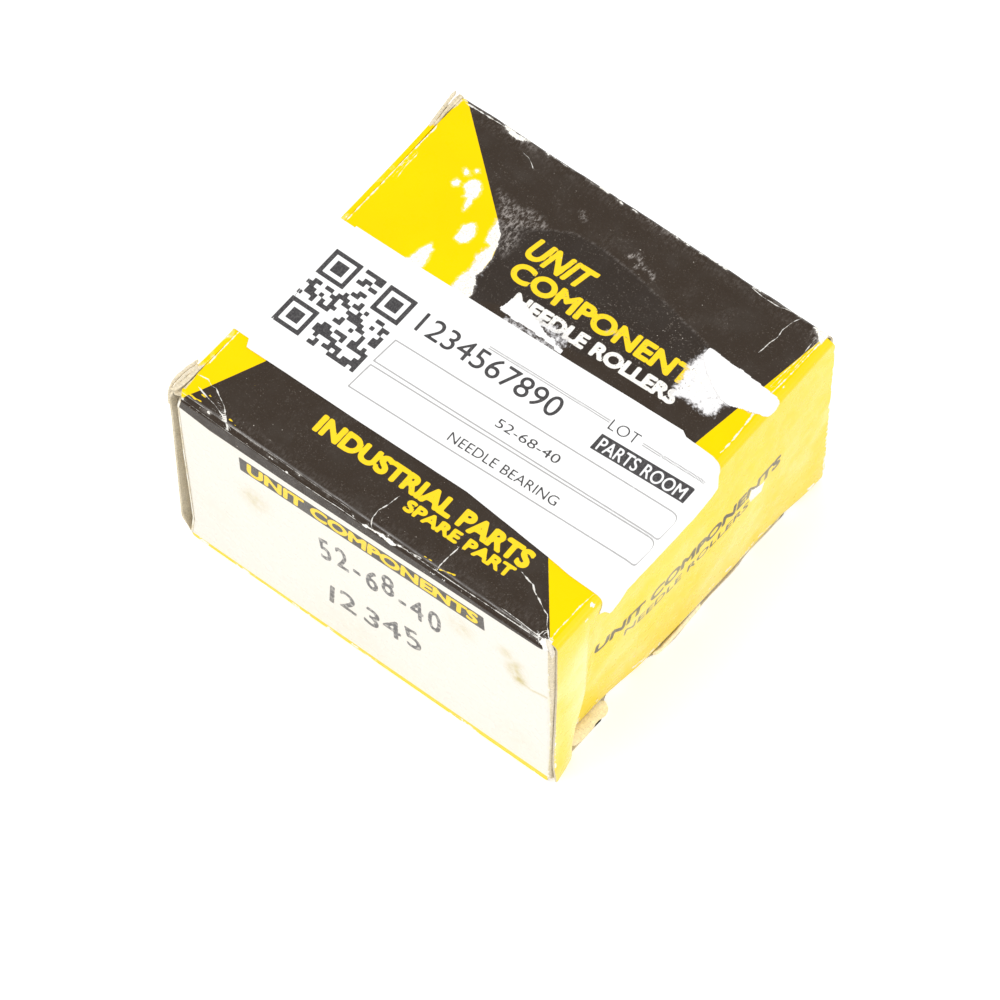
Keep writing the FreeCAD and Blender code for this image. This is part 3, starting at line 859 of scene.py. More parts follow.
# cracks, chips and rubbed folds, as distances that the shader breaks up
wh = Field(XX, VV)
CRACKS = [
    ([(1.61, -28.83), (1.29, -30.81), (0.72, -32.48), (0.92, -34.04), (1.55, -35.6)], 0.09),
    ([(14.44, -30.3), (14.3, -31.51), (14.2, -32.57), (14.19, -34.15), (14.24, -35.2)], 0.09),
    ([(24.97, -27.66), (26.36, -28.02), (27.29, -28.2), (28.27, -29.05), (29.73, -29.71), (31.18, -30.56),
      (32.27, -30.96), (33.22, -32.37), (34.63, -33.77), (35.52, -34.51)], 0.13),
    ([(33.53, -33.56), (33.4, -34.6), (33.9, -35.6)], 0.12),
    ([(26.5, -34.35), (29.76, -34.5), (31.83, -34.7), (34.09, -34.75)], 0.07),
    ([(-34.43, -32.54), (-32.76, -32.98), (-30.95, -33.32), (-28.76, -34.11), (-27.24, -35.16)], 0.10),
    ([(-33.5, -31.0), (-32.6, -30.9), (-31.5, -31.6), (-29.6, -32.6), (-27.6, -34.6), (-26.6, -36.0)], 0.12),
    ([(-36.0, -30.6), (-34.6, -30.4), (-33.5, -31.0)], 0.09),
    ([(21.12, 34.72), (23.36, 34.38), (25.31, 34.42), (26.72, 34.51), (28.64, 35.25), (30.83, 35.6), (32.69, 35.75), (34.77, 35.6)], 0.12),
    ([(30.89, 35.53), (29.9, 33.56), (29.5, 31.46), (29.73, 29.86), (29.36, 28.38), (29.17, 26.34)], 0.07),
    ([(-35.06, 34.55), (-31.0, 34.7), (-27.0, 34.8), (-23.7, 34.77)], 0.15),
    ([(-17.61, 35.05), (-15.53, 34.95)], 0.12), ([(-19.6, 35.39), (-18.98, 35.7)], 0.12),
    ([(-14.31, 35.57), (-13.09, 35.84)], 0.12),
    ([(-11, -36.72), (-5, -36.5), (0, -36.4), (5, -36.0), (11, -35.2)], 0.07),
    ([(3.66, -35.67), (15.72, -35.67), (23.77, -35.48), (33.63, -35.28)], 0.09),
    ([(-36.2, -34.9), (-27, -35.0), (-15, -35.1), (-3, -35.2)], 0.04),
    ([(-36.4, -36.2), (-30, -36.4), (-20, -36.6), (-11, -36.7)], 0.04),
    ([(35.6, 35.64), (35.5, 32.26), (35.45, 28.57), (35.3, 23.67), (34.84, 19.15), (35.3, 15.01), (35.5, 11.26), (35.5, 8.24)], 0.15),
    ([(34.5, 33.2), (34.7, 29.0), (34.35, 25.0), (34.2, 22.5)], 0.07),
    ([(35.24, -33.67), (35.08, -31.85), (35.21, -29.32), (35.19, -27.13), (35.5, -23.87)], 0.12),
    ([(-22.45, 32.63), (-21.32, 32.48), (-20.29, 31.9), (-19.61, 31.4)], 0.05),
    ([(-36.42, 6.0), (-36.42, 12.3), (-36.45, 19.1), (-36.48, 24.2), (-36.4, 28.0)], 0.13),
    ([(-35.3, 17.0), (-35.6, 19.5), (-35.5, 22.0)], 0.06),
    ([(-36.45, -21.0), (-36.5, -25.0), (-36.4, -28.0)], 0.11),
]
for pts, half in [
    ([(-17, zf(12)), (-21, zf(3))], -0.10),
]:
    wh.line(pts, half)
for pts in [
    [(-1.94, -36.04), (-0.31, -36.47), (1.74, -35.84), (3.76, -35.71), (7.43, -35.52), (5.87, -36.74), (2.98, -36.33), (0.7, -36.66)],
    [(-28.39, 35.25), (-27.33, 35.73), (-25.43, 35.14), (-24.03, 35.2), (-23.88, 34.27), (-25.45, 34.08), (-27.37, 34.31)],
    [(33.2, 34.9), (34.3, 34.2), (35.0, 33.1), (37.4, 32.6), (38.9, 32.2), (37.6, 34.9), (36.2, 36.4), (33.8, 36.3)],
    [(33.9, -35.6), (34.1, -34.7), (34.9, -34.2), (35.9, -34.4), (36.7, -35.0), (36.8, -37.0), (35.4, -36.9), (34.6, -36.1)],
    [(-26.01, 21.89), (-25.98, 23.11), (-25.35, 23.98), (-24.09, 24.04), (-23.29, 22.64), (-23.08, 21.41), (-23.24, 20.64),
     (-22.9, 19.25), (-22.98, 18.08), (-23.74, 19.52), (-23.94, 20.74), (-25.02, 20.35), (-25.09, 21.41)],
    [(-27.69, 24.0), (-27.9, 24.94), (-27.07, 24.67), (-26.62, 23.91), (-27.09, 23.54)],
    [(-28.17, 21.39), (-27.82, 22.22), (-27.03, 22.29), (-26.86, 21.5), (-27.34, 20.93)],
    [(-26.53, 25.46), (-26.06, 25.84), (-25.46, 25.28), (-25.89, 24.94)],
    [(-21.01, 13.39), (-21.44, 14.7), (-21.41, 15.82), (-20.77, 17.24), (-20.21, 17.5), (-19.25, 16.79), (-19.0, 15.7),
     (-18.95, 14.28), (-19.72, 13.31)],
    [(-24.55, 5.0), (-24.28, 6.71), (-24.01, 8.29), (-23.61, 9.52), (-23.17, 10.6), (-22.45, 9.51), (-21.99, 7.88), (-21.56, 6.39), (-21.77, 5.0)],
    [(-17.82, 20.3), (-17.62, 18.8), (-17.39, 17.15), (-16.78, 15.8), (-15.68, 15.57), (-15.85, 14.24), (-16.26, 13.01),
     (-15.78, 12.02), (-15.49, 10.89), (-15.66, 9.57), (-15.79, 8.19), (-15.74, 6.78), (-15.95, 5.0), (-12.8, 5.0),
     (-12.38, 6.2), (-12.42, 7.22), (-13.46, 9.3), (-13.9, 10.05), (-13.76, 11.79), (-14.06, 14.1), (-14.87, 16.39), (-15.88, 18.34)],
]:
    wh.poly(pts)
rng = np.random.RandomState(17)
for cx in np.sort(rng.uniform(-22.0, 33.0, 20)):
    ln_, vv_ = rng.uniform(0.35, 1.5), rng.uniform(34.75, 35.55)
    wh.line([(cx, vv_), (cx + ln_ * 0.5, vv_ + rng.uniform(-0.12, 0.12)), (cx + ln_, vv_ + rng.uniform(-0.15, 0.10))], rng.uniform(0.0, 0.12))
wear_n = fbm(np.stack([XX, VV * 0.6, 0 * XX], -1), 3.0, 51, 4)
dw = wh.a
# rubbed folds: front-top, back-top and the low ones
for pos, half, seed, push in ((-36.0, 0.9, 61, -0.55), (36.0, 0.95, 62, -0.36), (-HD - H, 1.1, 63, -0.25)):
    band = half - np.abs(VV - pos)
    nn = fbm(np.stack([XX, VV * 2.0, 0 * XX], -1), 2.6, seed, 4)
    dw = np.maximum(dw, np.minimum(band, nn * 0.9 + push))
k0["d_white"] = dw
k0["c_s"], k0["c_w"] = crack_attrs(XX, VV, CRACKS)
fl_y = Field(XX, VV)                           # yellow showing through small scrapes in the black
for pts in ([(-35.1, -34.3), (-33.9, -34.45), (-32.8, -34.25)], [(-34.2, -33.0), (-32.9, -33.2)], [(-33.0, -32.4), (-32.3, -32.5)],
            [(10.5, -34.68), (12.9, -34.46)], [(14.6, -35.0), (17.0, -34.2)], [(-28.5, -26.4), (-28.2, -27.0)], [(-27.3, -34.0), (-26.0, -34.3)]):
    fl_y.line(pts, 0.10)
k0["d_yt"] = np.maximum(k0["d_yt"], fl_y.a + 0.16 * noise(np.stack([XX, VV, 0 * XX], -1), 0.5, 55) - 0.02)
raw = np.full(X.shape, -9.0)
wallf = (part == 2)[:, None] & np.ones(X.shape, bool)
raw = np.where(wallf, np.maximum(XX - (36.0 + 0.25 * noise(np.stack([0 * XX, VV, 0 * XX], -1), 2.5, 71)) - 0.55, (xl[:, None] + 0.02 - XX)), raw)
raw = np.where((part == 0)[:, None] & np.ones(X.shape, bool), (X_RAW_L - 0.3 - XX) + 0.10 * noise(at2(XX, VV), 1.1, 72) + 0.6 * (smooth(-VV, 28, 34) + smooth(VV, 30, 34)), raw)
k0["d_raw"] = raw
k0["gloss"] = np.broadcast_to(smooth(-VV, 35.4, 36.6) * ((part == 1) | (part == 2))[:, None], X.shape).copy()
gh = Field(XX, VV)                             # darker, unfaded ink where the old label sat
gh.poly([(-17.9, 19.7), (-13.9, 21.8), (-6.9, 25.6), (-1.8, 26.2), (5.2, 25.5), (14.1, 23.8), (22.4, 22.0), (23.9, 14.3), (24.5, 10.3), (13.0, 9.8), (4.2, 8.0), (-2.9, 9.4), (-7.8, 8.1), (-11.8, 6.0), (-14.0, 10.9), (-15.9, 17.7)], margin=3)
k0["ghost"] = smooth(gh.a, -0.25, 0.25) * (part == 0)[:, None]
k0["crease"] = np.where((part == 1)[:, None] & np.ones(X.shape, bool), 0.0, 0.0)
s1 = np.zeros(X.shape)
for cx, cz, rx, rz_, a_ in ((29.6, 28.9, 1.6, 2.4, 0.85), (30.3, 26.9, 1.3, 1.5, 1.0), (27.9, 32.0, 1.5, 1.5, 0.50), (29.9, 31.0, 1.6, 1.2, 0.35),
                            (-22.1, 26.0, 2.4, 2.6, 0.50), (19.0, 30.4, 2.4, 2.4, 0.36), (-3, 6, 6, 5, 0.10), (30, 8, 4, 4, 0.10), (-30, 14, 5, 5, 0.06)):
    s1 = np.maximum(s1, a_ * np.exp(-((XX - cx) / rx) ** 2 - ((VV - zf(cz)) / rz_) ** 2))
l1 = Field(XX, VV); l1.line([(30.2, zf(26.4)), (32.6, zf(26.0)), (35.6, zf(26.9))], 0.22)
s1 = np.maximum(s1, smooth(l1.a, -0.18, 0.25) * 0.8)
k0["stain"] = s1
sc = Field(XX, VV)
sc.poly([(-20.95, 24.64), (-17.02, 24.07), (-14.91, 24.69), (-12.29, 24.67), (-10.75, 23.81), (-12.35, 22.55), (-13.6, 21.4), (-12.9, 18.0),
         (-13.0, 15.5), (-15.0, 16.4), (-15.6, 18.6), (-17.4, 20.4), (-18.9, 22.2)], margin=3)
scf = smooth(sc.a, -1.0, 0.9) * 0.62
sc2 = Field(XX, VV)
for pts in ([(2.4, 27.4), (3.4, 28.6), (4.4, 28.1), (5.0, 27.4), (4.4, 26.5)], [(5.9, 27.3), (7.3, 27.2), (7.9, 26.6)], [(8.4, 14.6), (9.6, 14.9)], [(-8.4, 29.6), (-7.2, 28.6)]):
    sc2.line(pts, 0.35, 3)
scf = np.maximum(scf, smooth(sc2.a, -0.35, 0.35) * 0.8)
ln = Field(XX, VV)
for pts in ([(-36, 33.2), (-20, 33.9), (0, 34.2), (20, 33.8), (34, 33.6)], [(-30, -33.5), (-10, -34.0), (12, -33.8), (33, -33.0)]):
    ln.line(pts, 1.2, 3)
scf = np.maximum(scf, smooth(ln.a, -0.6, 1.2) * 0.07)
scf = np.maximum(scf, 0.06 * smooth(fbm(at2(XX, VV), 7.0, 81), 0.15, 0.8))
gl = Field(XX, VV)
gl.line([(-13.9, 21.8), (-6.9, 25.6), (-1.8, 26.2), (5.2, 25.5), (14.1, 23.8), (22.4, 22.0)], 0.10, 3)
scf = np.maximum(scf, smooth(gl.a, -0.22, 0.10) * 0.24)
scf = np.maximum(scf, 0.85 * np.exp(-((XX - 35.3) / 1.7) ** 2 - ((VV - 33.9) / 1.5) ** 2))
scf = np.maximum(scf, 0.55 * np.exp(-((XX - 3.0) / 3.2) ** 2 - ((VV - 34.9) / 0.55) ** 2))
scf = np.maximum(scf, 0.60 * np.exp(-((XX + 24.5) / 3.0) ** 2 - ((VV - 34.6) / 0.8) ** 2))
k0["scuff"] = scf * (black.a > -0.1)
rs = Field(XX, VV)
rs.poly([(22.23, 21.74), (30.02, 21.58), (35.96, 21.16), (37.71, 20.43), (38.08, 19.19), (37.12, 17.48), (35.35, 16.66), (33.73, 16.15),
         (31.93, 15.88), (31.19, 14.73), (31.07, 13.3), (30.87, 11.99), (29.34, 11.36), (27.6, 11.53), (25.91, 11.63), (24.2, 11.24),
         (22.96, 10.75), (22.09, 12.94), (22.17, 14.94), (21.4, 17.25), (21.6, 19.62)], margin=4)
px = lambda a, b: (((a / 16 - 3) / 72 - .5) * 74, ((72.196 - b / 16) / 69.196 - .5) * 71.2)
rs2 = Field(XX, VV)
rs2.poly([px(a, b) for a, b in ((505, 560), (520, 505), (545, 470), (600, 440), (640, 428), (700, 440), (716, 470), (700, 500), (660, 520), (640, 560))], margin=4)
r1 = smooth(rs.a, -1.1, 1.7) * 0.90
r2 = smooth(rs2.a, -1.2, 1.4) * 0.56
flf = Field(XX, VV)
flf.poly([(-17.82, 20.3), (-17.4, 17.2), (-15.8, 15.6), (-16.2, 13.0), (-15.5, 10.9), (-15.9, 5.0), (-12.8, 5.0), (-13.4, 9.3), (-13.8, 11.8), (-14.9, 16.4)], margin=3)
r3 = smooth(flf.a, -1.5, 0.2) * 0.44
k0["resid"] = np.maximum(np.maximum(r1, r2), r3) * (part == 0)[:, None]

sleeve = build("carton_sleeve", P, Ng, BOARD, [M_PRINT, M_RAW_IN, M_CUT], k0, wrap=True)
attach(sleeve, "carton")
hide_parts("carton_top_panel", "carton_front_panel", "carton_back_panel", "carton_bottom_panel")

# glue tab inside the back panel, up from the bottom panel
tx, tz = np.meshgrid(np.linspace(-33, 33, 69), np.linspace(0.8, 12.0, 13), indexing="ij")
cham = np.clip((tz - 0.38) / 11.62, 0, 1) * 5.0
tx = tx * (33 - cham) / 33
Pt = np.stack([tx, np.full_like(tx, HD - BOARD - 0.06 - 0.12), tz], -1)
Nt = np.zeros_like(Pt); Nt[..., 1] = 1
tab = build("glue_tab", Pt, Nt, BOARD * 0.9, [M_RAW, M_RAW_IN, M_CUT])
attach(tab, "carton"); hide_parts("carton_glue_tab")

# ---------------------------------------------------------------- 2. right lid, tuck flap, dust flaps
ARC = R_LID * math.pi / 2
z_end = 1.6
ns = 12
s_line = np.concatenate([np.linspace(S_LID, S_LID + ARC, ns, endpoint=False), np.linspace(S_LID + ARC, S_LID + ARC + (H - R_LID - z_end), 137)])
yl = np.linspace(-1, 1, 245)
Sg, Tg = np.meshgrid(s_line, yl, indexing="ij")
ylim = 34.55 + 0.7 * smooth(Sg, S_LID + 0.6, S_LID + ARC + 1.2)
ylim = ylim - 0.5 * smooth(Sg, S_LID + ARC + 37.5, S_LID + ARC + 39.9)
ylim = np.where(Tg < 0, np.interp(H - R_LID - np.maximum(Sg - S_LID - ARC, 0), [0, 6, 12, 20, 28, 41.4], [35.35, 35.4, 35.3, 34.95, 34.68, 34.6]), ylim)
Yl = Tg * ylim + 0.05 * noise(np.stack([Sg, Tg * 3, 0 * Sg], -1), 2.0, 91) * (np.abs(Tg) > .99)
Pl, Nl = upper(Sg, Yl)
# the free front edge stands off slightly, and the lower front corner curls out
curl = 0.08 * smooth(-Yl, 34.2, 35.3) * smooth(Pl[..., 2], 40, 30)
corner = 0.9 * smooth(-Yl, 31.5, 35.3) * smooth(-Pl[..., 2], -7, -1.5)
Pl = Pl + Nl * (curl + corner * 0.6)[..., None]
zprint = H - (Sg - S_LID) * (R_LID * 1.0 / ARC) * (Sg < S_LID + ARC) - np.where(Sg >= S_LID + ARC, R_LID + (Sg - S_LID - ARC), 0)
LA = print_attrs(Sg.shape)
dt = Field(Yl, zprint)
dt.text("UNIT COMPONENTS", (-22.9, 22.5), (22.1, 22.5), 2.4, 0.20, 0.14)
dt.text("NEEDLE ROLLERS", (-16.1, 19.2), (14.3, 19.2), 1.8, 0.07, 0.10)
LA["d_dt"] = dt.a
lw = Field(Yl, zprint)
lw.poly([(14.6, 24.0), (16.2, 22.6), (18.3, 22.0), (17.4, 19.6), (14.9, 19.9), (14.1, 22.0)])
for pts, half in [
    ([(-26.4, 41), (-26.1, 35.35), (-24.9, 24), (-24.3, 14), (-24.6, 7), (-25.0, 2)], -0.10),
    ([(-12.4, 17.5), (-12.2, 6.0)], -0.08), ([(2.0, 16.5), (1.8, 12.5)], -0.08),
    ([(35.2, 40), (35.2, 20), (35.0, 3)], 0.12),
    ([(-35.2, 40), (-35.2, 20), (-35.0, 3)], 0.10),
]:
    lw.line(pts, half)
lwv = lw.a
for pos, half, seed, push in ((41.9, 0.9, 101, -0.62), (1.8, 0.9, 102, -0.35)):
    band = half - np.abs(zprint - pos)
    nn = fbm(np.stack([0 * Yl, Yl, zprint * 2.4], -1), 2.3, seed, 4)
    lwv = np.maximum(lwv, np.minimum(band, nn * 0.9 + push))
for pts in ([(36.2, 24.5), (35.7, 21.3)],):
    pass
LA["d_white"] = lwv
LA["d_raw"] = np.full(Sg.shape, -9.0)
# the lid darkens towards its foot, and in soft blotches
lid_darkening = 0.16 * smooth(-zprint, -6, -1) + 0.06 * smooth(fbm(np.stack([0 * Yl, Yl, zprint], -1), 8, 111), 0.2, 0.9)
LA["stain"] = lid_darkening * 0.8
cr = Field(Yl, zprint)
cr.line([(-26.1, 38), (-26.0, 30), (-25.4, 20), (-25.2, 8), (-25.4, 2)], 0.5)
cr.line([(-12.4, 19.5), (-12.2, 6.0)], 0.4).line([(2.0, 17.0), (1.8, 11.5)], 0.35)
LA["crease"] = smooth(cr.a, 0.0, 0.5) * 0.5
LA["gloss"] = np.full(Sg.shape, 1.0)
# painted sheen and faded ink: pale on the strip between the crease at y -26 and the front edge, and in blotches lower
# down the lid
LA["fade"] = 0.52 * smooth(-Yl, 25.9, 27.3) * (1 - 0.75 * smooth(-Yl, 28.5, 33.8)) * smooth(-zprint, -40, -30) + 0.30 * smooth(fbm(np.stack([0 * Yl, Yl, zprint], -1), 7, 113), -0.4, 0.8) * smooth(-zprint, -40, -26)
lid = build("right_lid_board", Pl, Nl, BOARD, [M_PRINT, M_RAW_IN, M_CUT], LA)
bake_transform(lid)
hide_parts("right_lid")

# tuck flap: turns under at the lid's foot
rt = 0.75
na = 8
q = np.concatenate([np.linspace(0, 1, na, endpoint=False), 1 + np.linspace(0, 1, 17)])
Qg, Tg2 = np.meshgrid(q, np.linspace(-1, 1, 121), indexing="ij")
half = 34.75 - 0.9 * smooth(Qg, 1.0, 1.15) - 2.6 * smooth(Qg, 1.5, 2.0) ** 2
Yt = Tg2 * half
dlow = dent(Yt, np.full_like(Yt, z_end))
fl = np.clip(Qg - 1, 0, 1) * 8.2
ang = np.clip(Qg, 0, 1) * math.pi / 2
xq = HW - rt + rt * np.cos(ang) - fl - dlow * 1.0
zq = z_end - rt * np.sin(ang)
Pq = np.stack([xq, Yt, zq + 0.0], -1)
Nq = np.stack([np.cos(ang), 0 * ang, -np.sin(ang)], -1)
TA = print_attrs(Qg.shape)
tw = np.minimum(0.8 - np.abs(Qg - 0.5), fbm(np.stack([Yt, Qg * 3, 0 * Qg], -1), 2.2, 121, 4) * 0.9 - 0.2)
TA["d_white"] = tw
tuck = build("right_tuck_board", Pq, Nq, BOARD, [M_PRINT, M_RAW_IN, M_CUT], TA)
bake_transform(tuck)
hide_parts("right_tuck_flap")


def dust(name, side, end, node):
    """a dust flap with its fold. side -1 is the front panel's, +1 the back's; end +1 right, -1 left"""
    nz_, nr = 81, 53
    qa = np.concatenate([np.linspace(0, 1, 8, endpoint=False), 1 + np.linspace(0, 1, nr - 8)])
    Q, Tz = np.meshgrid(qa, np.linspace(0, 1, nz_), indexing="ij")
    r = np.clip(Q - 1, 0, 1) * (25.0 - RD)
    if end > 0:
        z0, z1 = 1.45 + 0 * r, 41.6 - 0.4 * r
    else:
        z0, z1 = 1.0 + 0.4 * r, 41.15 + 0 * r
    z = z0 + (z1 - z0) * Tz
    ang = np.clip(Q, 0, 1) * math.pi / 2
    if side < 0 and end < 0:
        xf = -(x_left_front(z) + RD)
    else:
        xf = HW - 0.43 - RD
    xx = xf + RD * np.sin(ang)
    yy = HD - RD + RD * np.cos(ang) - r
    if end > 0:
        xx = xx - dent(side * yy, z) * smooth(r, 0, 1.5)
    else:
        if side < 0:
            xx = xx - (xx - (HW - 0.43)) * smooth(r, 0, 4)
    P_ = np.stack([end * xx, side * yy, z], -1)
    N_ = np.stack([end * np.sin(ang), side * np.cos(ang), 0 * ang], -1)
    DA = print_attrs(Q.shape)
    DA["d_cream"] = np.full(Q.shape, 1.0)
    nn = fbm(P_, 2.5, 131 + (side > 0) + 2 * (end > 0), 4)
    if side < 0 and end > 0:
        qb = np.interp(z, [0, 6, 12, 22, 27, 32, 37, 41], [.10, .40, .55, .60, .50, .25, .05, -.1])
        DA["d_raw"] = np.where(Q < 1.2, (Q - qb) * 0.97 + 0.12 * nn, -1.0)
        DA["stain"] = 0.9 * np.exp(-((Q - qb) * 0.97 / 0.14) ** 2)
    else:
        DA["d_raw"] = np.where(Q < 1.2, -0.05 + 0.5 * nn, -1.0)
    DA["d_white"] = np.where(Q < 1.1, nn * 0.8 - 0.25, -1.0)
    ob = build(name, P_, N_, BOARD, [M_PRINT, M_RAW_IN, M_CUT], DA)
    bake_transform(ob)
    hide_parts(node)
    return ob


dust("right_dust_front_board", -1, 1, "right_dust_flap_front")
dust("right_dust_back_board", 1, 1, "right_dust_flap_back")
dust("left_dust_front_board", -1, -1, "left_dust_flap_front")
dust("left_dust_back_board", 1, -1, "left_dust_flap_back")


# ---------------------------------------------------------------- 3. left lid and its tuck flap
def flare(y, z):
    """how far the left closure stands out beyond its plane"""
    y, z = np.asarray(y, float), np.asarray(z, float)
    f = 1.55 * np.exp(-np.clip(y + 35.3, 0, 99) / 2.6) * smooth(z, 0.8, 4.0)
    b = 0.75 * np.exp(-np.clip(35.3 - y, 0, 99) / 5.5) * smooth(z, 30, 41)
    m = 0.85 * smooth(z, 32, 40.5) * smooth(35.3 - np.abs(y), -2, 6)
    return f + b + m


def left_face(q, y, r0=0.8):
    """q 0..1 low fold, 1..2 the face, 2..3 top fold, 3..4 the tuck flap"""
    zt = 41.85
    a0 = np.clip(q, 0, 1) * math.pi / 2
    a1 = np.clip(q - 2, 0, 1) * math.pi / 2
    z = r0 - r0 * np.cos(a0) + np.clip(q - 1, 0, 1) * (zt - 2 * r0) + r0 * np.sin(a1)
    x = -(HW - r0) - r0 * np.sin(a0) + r0 * (1 - np.cos(a1)) + np.clip(q - 3, 0, 1) * 8.3
    nx = -np.sin(a0) * np.cos(a1)
    nz = -np.cos(a0) + np.sin(a1)
    fl_ = flare(y, z) * smooth(q, 0.3, 1.0) * (1 - smooth(q, 3.0, 3.35))
    x = x - fl_
    lift = (0.58 + 0.02 * np.exp(-np.clip(y + 35.3, 0, 99) / 7) + 0.15 * np.exp(-np.clip(35.3 - y, 0, 99) / 6)) * smooth(q, 1.7, 2.8) * (1 - smooth(q, 3.045, 3.05))
    z = z + lift
    P_ = np.stack([x, y, z], -1)
    N_ = np.stack([nx, 0 * nx, nz], -1)
    N_ /= np.linalg.norm(N_, axis=-1, keepdims=True)
    return P_, N_


qs = np.concatenate([np.linspace(0, 1, 8, endpoint=False), np.linspace(1, 2, 81)])
Q, Tt = np.meshgrid(qs, np.linspace(-1, 1, 145), indexing="ij")
Yy = Tt * (34.9 + 0.4 * smooth(Q, 0.5, 1.05))
Pf, Nf = left_face(Q, Yy)
FA = print_attrs(Q.shape)
ll = Field(Yy, Pf[..., 2])
nn = fbm(Pf, 2.4, 141, 4)
FA["d_white"] = np.maximum(np.minimum(0.9 - np.abs(Pf[..., 2] - 0.4), nn * 0.9 - 0.3), np.minimum(0.8 - np.abs(np.abs(Yy) - 35.2), nn * 0.9 - 0.1))
FA["d_raw"] = np.minimum(Pf[..., 2] - 40.3, nn * 0.9 - 0.5 + 1.2 * np.maximum(np.exp(-(np.clip(Yy + 35.3, 0, 99) / 7) ** 2), np.exp(-(np.clip(35.3 - Yy, 0, 99) / 7.5) ** 2)))
tx_ = Field(-Yy, Pf[..., 2])
tx_.text("UNIT COMPONENTS", (-22.5, 22.5), (22.5, 22.5), 2.4, 0.10, 0.14)
tx_.text("NEEDLE ROLLERS", (-16.0, 19.2), (15.0, 19.2), 1.8, 0.03, 0.10)
FA["d_dt"] = tx_.a
FA["stain"] = 0.15 * smooth(fbm(Pf, 8, 151), 0.2, 0.9)
llid = build("left_lid_board", Pf, Nf, BOARD, [M_PRINT, M_RAW_IN, M_CUT], FA)
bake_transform(llid)
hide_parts("left_lid")

qs = np.concatenate([np.linspace(2, 3, 8, endpoint=False), [3.0, 3.02, 3.035, 3.045, 3.052, 3.08], np.linspace(3.1, 4, 15)])
Q, Tt = np.meshgrid(qs, np.linspace(-1, 1, 145), indexing="ij")
Yy = Tt * (35.3 - 0.9 * smooth(Q, 3.05, 3.2) - 2.6 * smooth(Q, 3.5, 4.0) ** 2)
Pf, Nf = left_face(Q, Yy)
# the worn fold dips below the top panel
Pf[..., 2] = np.where(Q > 3.05, np.minimum(Pf[..., 2], 41.80), Pf[..., 2])
FA = print_attrs(Q.shape)
nn = fbm(Pf, 2.4, 161, 4)
cornery = np.maximum(np.exp(-(np.clip(Yy + 35.3, 0, 99) / 7) ** 2), np.exp(-(np.clip(35.3 - Yy, 0, 99) / 7.5) ** 2))
FA["d_raw"] = np.where(Q < 3.3, nn * 0.8 - 0.85 + 1.5 * cornery, -1.0)
FA["d_white"] = np.where(Q < 3.2, nn * 0.9 - 0.5 + 0.2 * cornery, -1.0)
ltuck = build("left_tuck_board", Pf, Nf, BOARD, [M_PRINT, M_RAW_IN, M_CUT], FA)
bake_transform(ltuck)
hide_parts("left_tuck_flap")

def ply(name, path, width, thick, up, seed, mats, blend_to):
    """a worn sliver of split board that follows path, with wavy edges"""
    pth = np.array(path, float)
    L = np.concatenate([[0], np.cumsum(np.linalg.norm(np.diff(pth, axis=0), axis=1))])
    t = np.linspace(0, L[-1], 61)
    c = np.stack([np.interp(t, L, pth[:, i_]) for i_ in range(3)], -1)
    k_ = np.ones(7) / 7
    c = np.stack([np.convolve(np.pad(c[:, i_], 3, "edge"), k_, "valid") for i_ in range(3)], -1)
    T_ = np.gradient(c, axis=0)
    T_ /= np.linalg.norm(T_, axis=1, keepdims=True)
    up_ = np.array(up, float)
    side = np.cross(T_, up_)
    side /= np.linalg.norm(side, axis=1, keepdims=True)
    n_ = np.cross(side, T_)
    wv = np.linspace(-0.5, 0.5, 9)
    ww = width * (0.75 + 0.25 * np.clip(fbm(np.stack([t, 0 * t + seed, 0 * t], -1), 2.0, seed), -1, 1)) * np.sqrt(np.clip(np.minimum(t, L[-1] - t) / 0.8, 0.05, 1))
    Pp = c[:, None] + side[:, None] * (wv[None, :, None] * ww[:, None, None]) + n_[:, None] * (0.25 * np.cos(wv * math.pi * 1.1))[None, :, None]
    Pp = Pp + 0.06 * noise(Pp, 0.7, seed + 3)[..., None] * n_[:, None]
    Np = n_[:, None] + side[:, None] * (wv * 0.9)[None, :, None]
    Np = Np / np.linalg.norm(Np, axis=-1, keepdims=True)
    ob_ = build(name, Pp, Np, thick, mats)
    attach(ob_, blend_to)
    return ob_


M_PLY = make_raw("split_ply", 1.15, True)
ply("split_ply_back_left", [(-37.35, 27.4, 42.35), (-37.55, 29.5, 42.7), (-37.9, 33.0, 42.9), (-38.1, 35.3, 42.9)], 0.85, 0.22, (0, 0, 1), 3, [M_PLY] * 3, "left_lid")
ply("split_ply_back_left_2", [(-36.9, 27.9, 42.3), (-37.0, 30.0, 42.55), (-37.3, 33.0, 42.65), (-37.35, 35.0, 42.6)], 0.7, 0.18, (0, 0, 1), 5, [M_PLY] * 3, "left_lid")
ply("split_ply_front_left", [(-38.2, -28.4, 42.0), (-38.7, -30.5, 42.1), (-38.95, -32.5, 42.0), (-38.95, -34.3, 41.5), (-38.75, -35.1, 40.2), (-38.6, -35.3, 37.5)], 0.95, 0.2, (-0.5, -0.3, 1), 7, [M_PLY] * 3, "left_lid")
ply("split_ply_front_left_2", [(-37.6, -29.2, 42.3), (-38.0, -31.5, 42.4), (-38.2, -33.4, 42.2), (-38.15, -34.9, 41.6), (-38.0, -35.5, 40.4)], 0.8, 0.2, (-0.4, -0.4, 1), 9, [M_PLY] * 3, "left_lid")

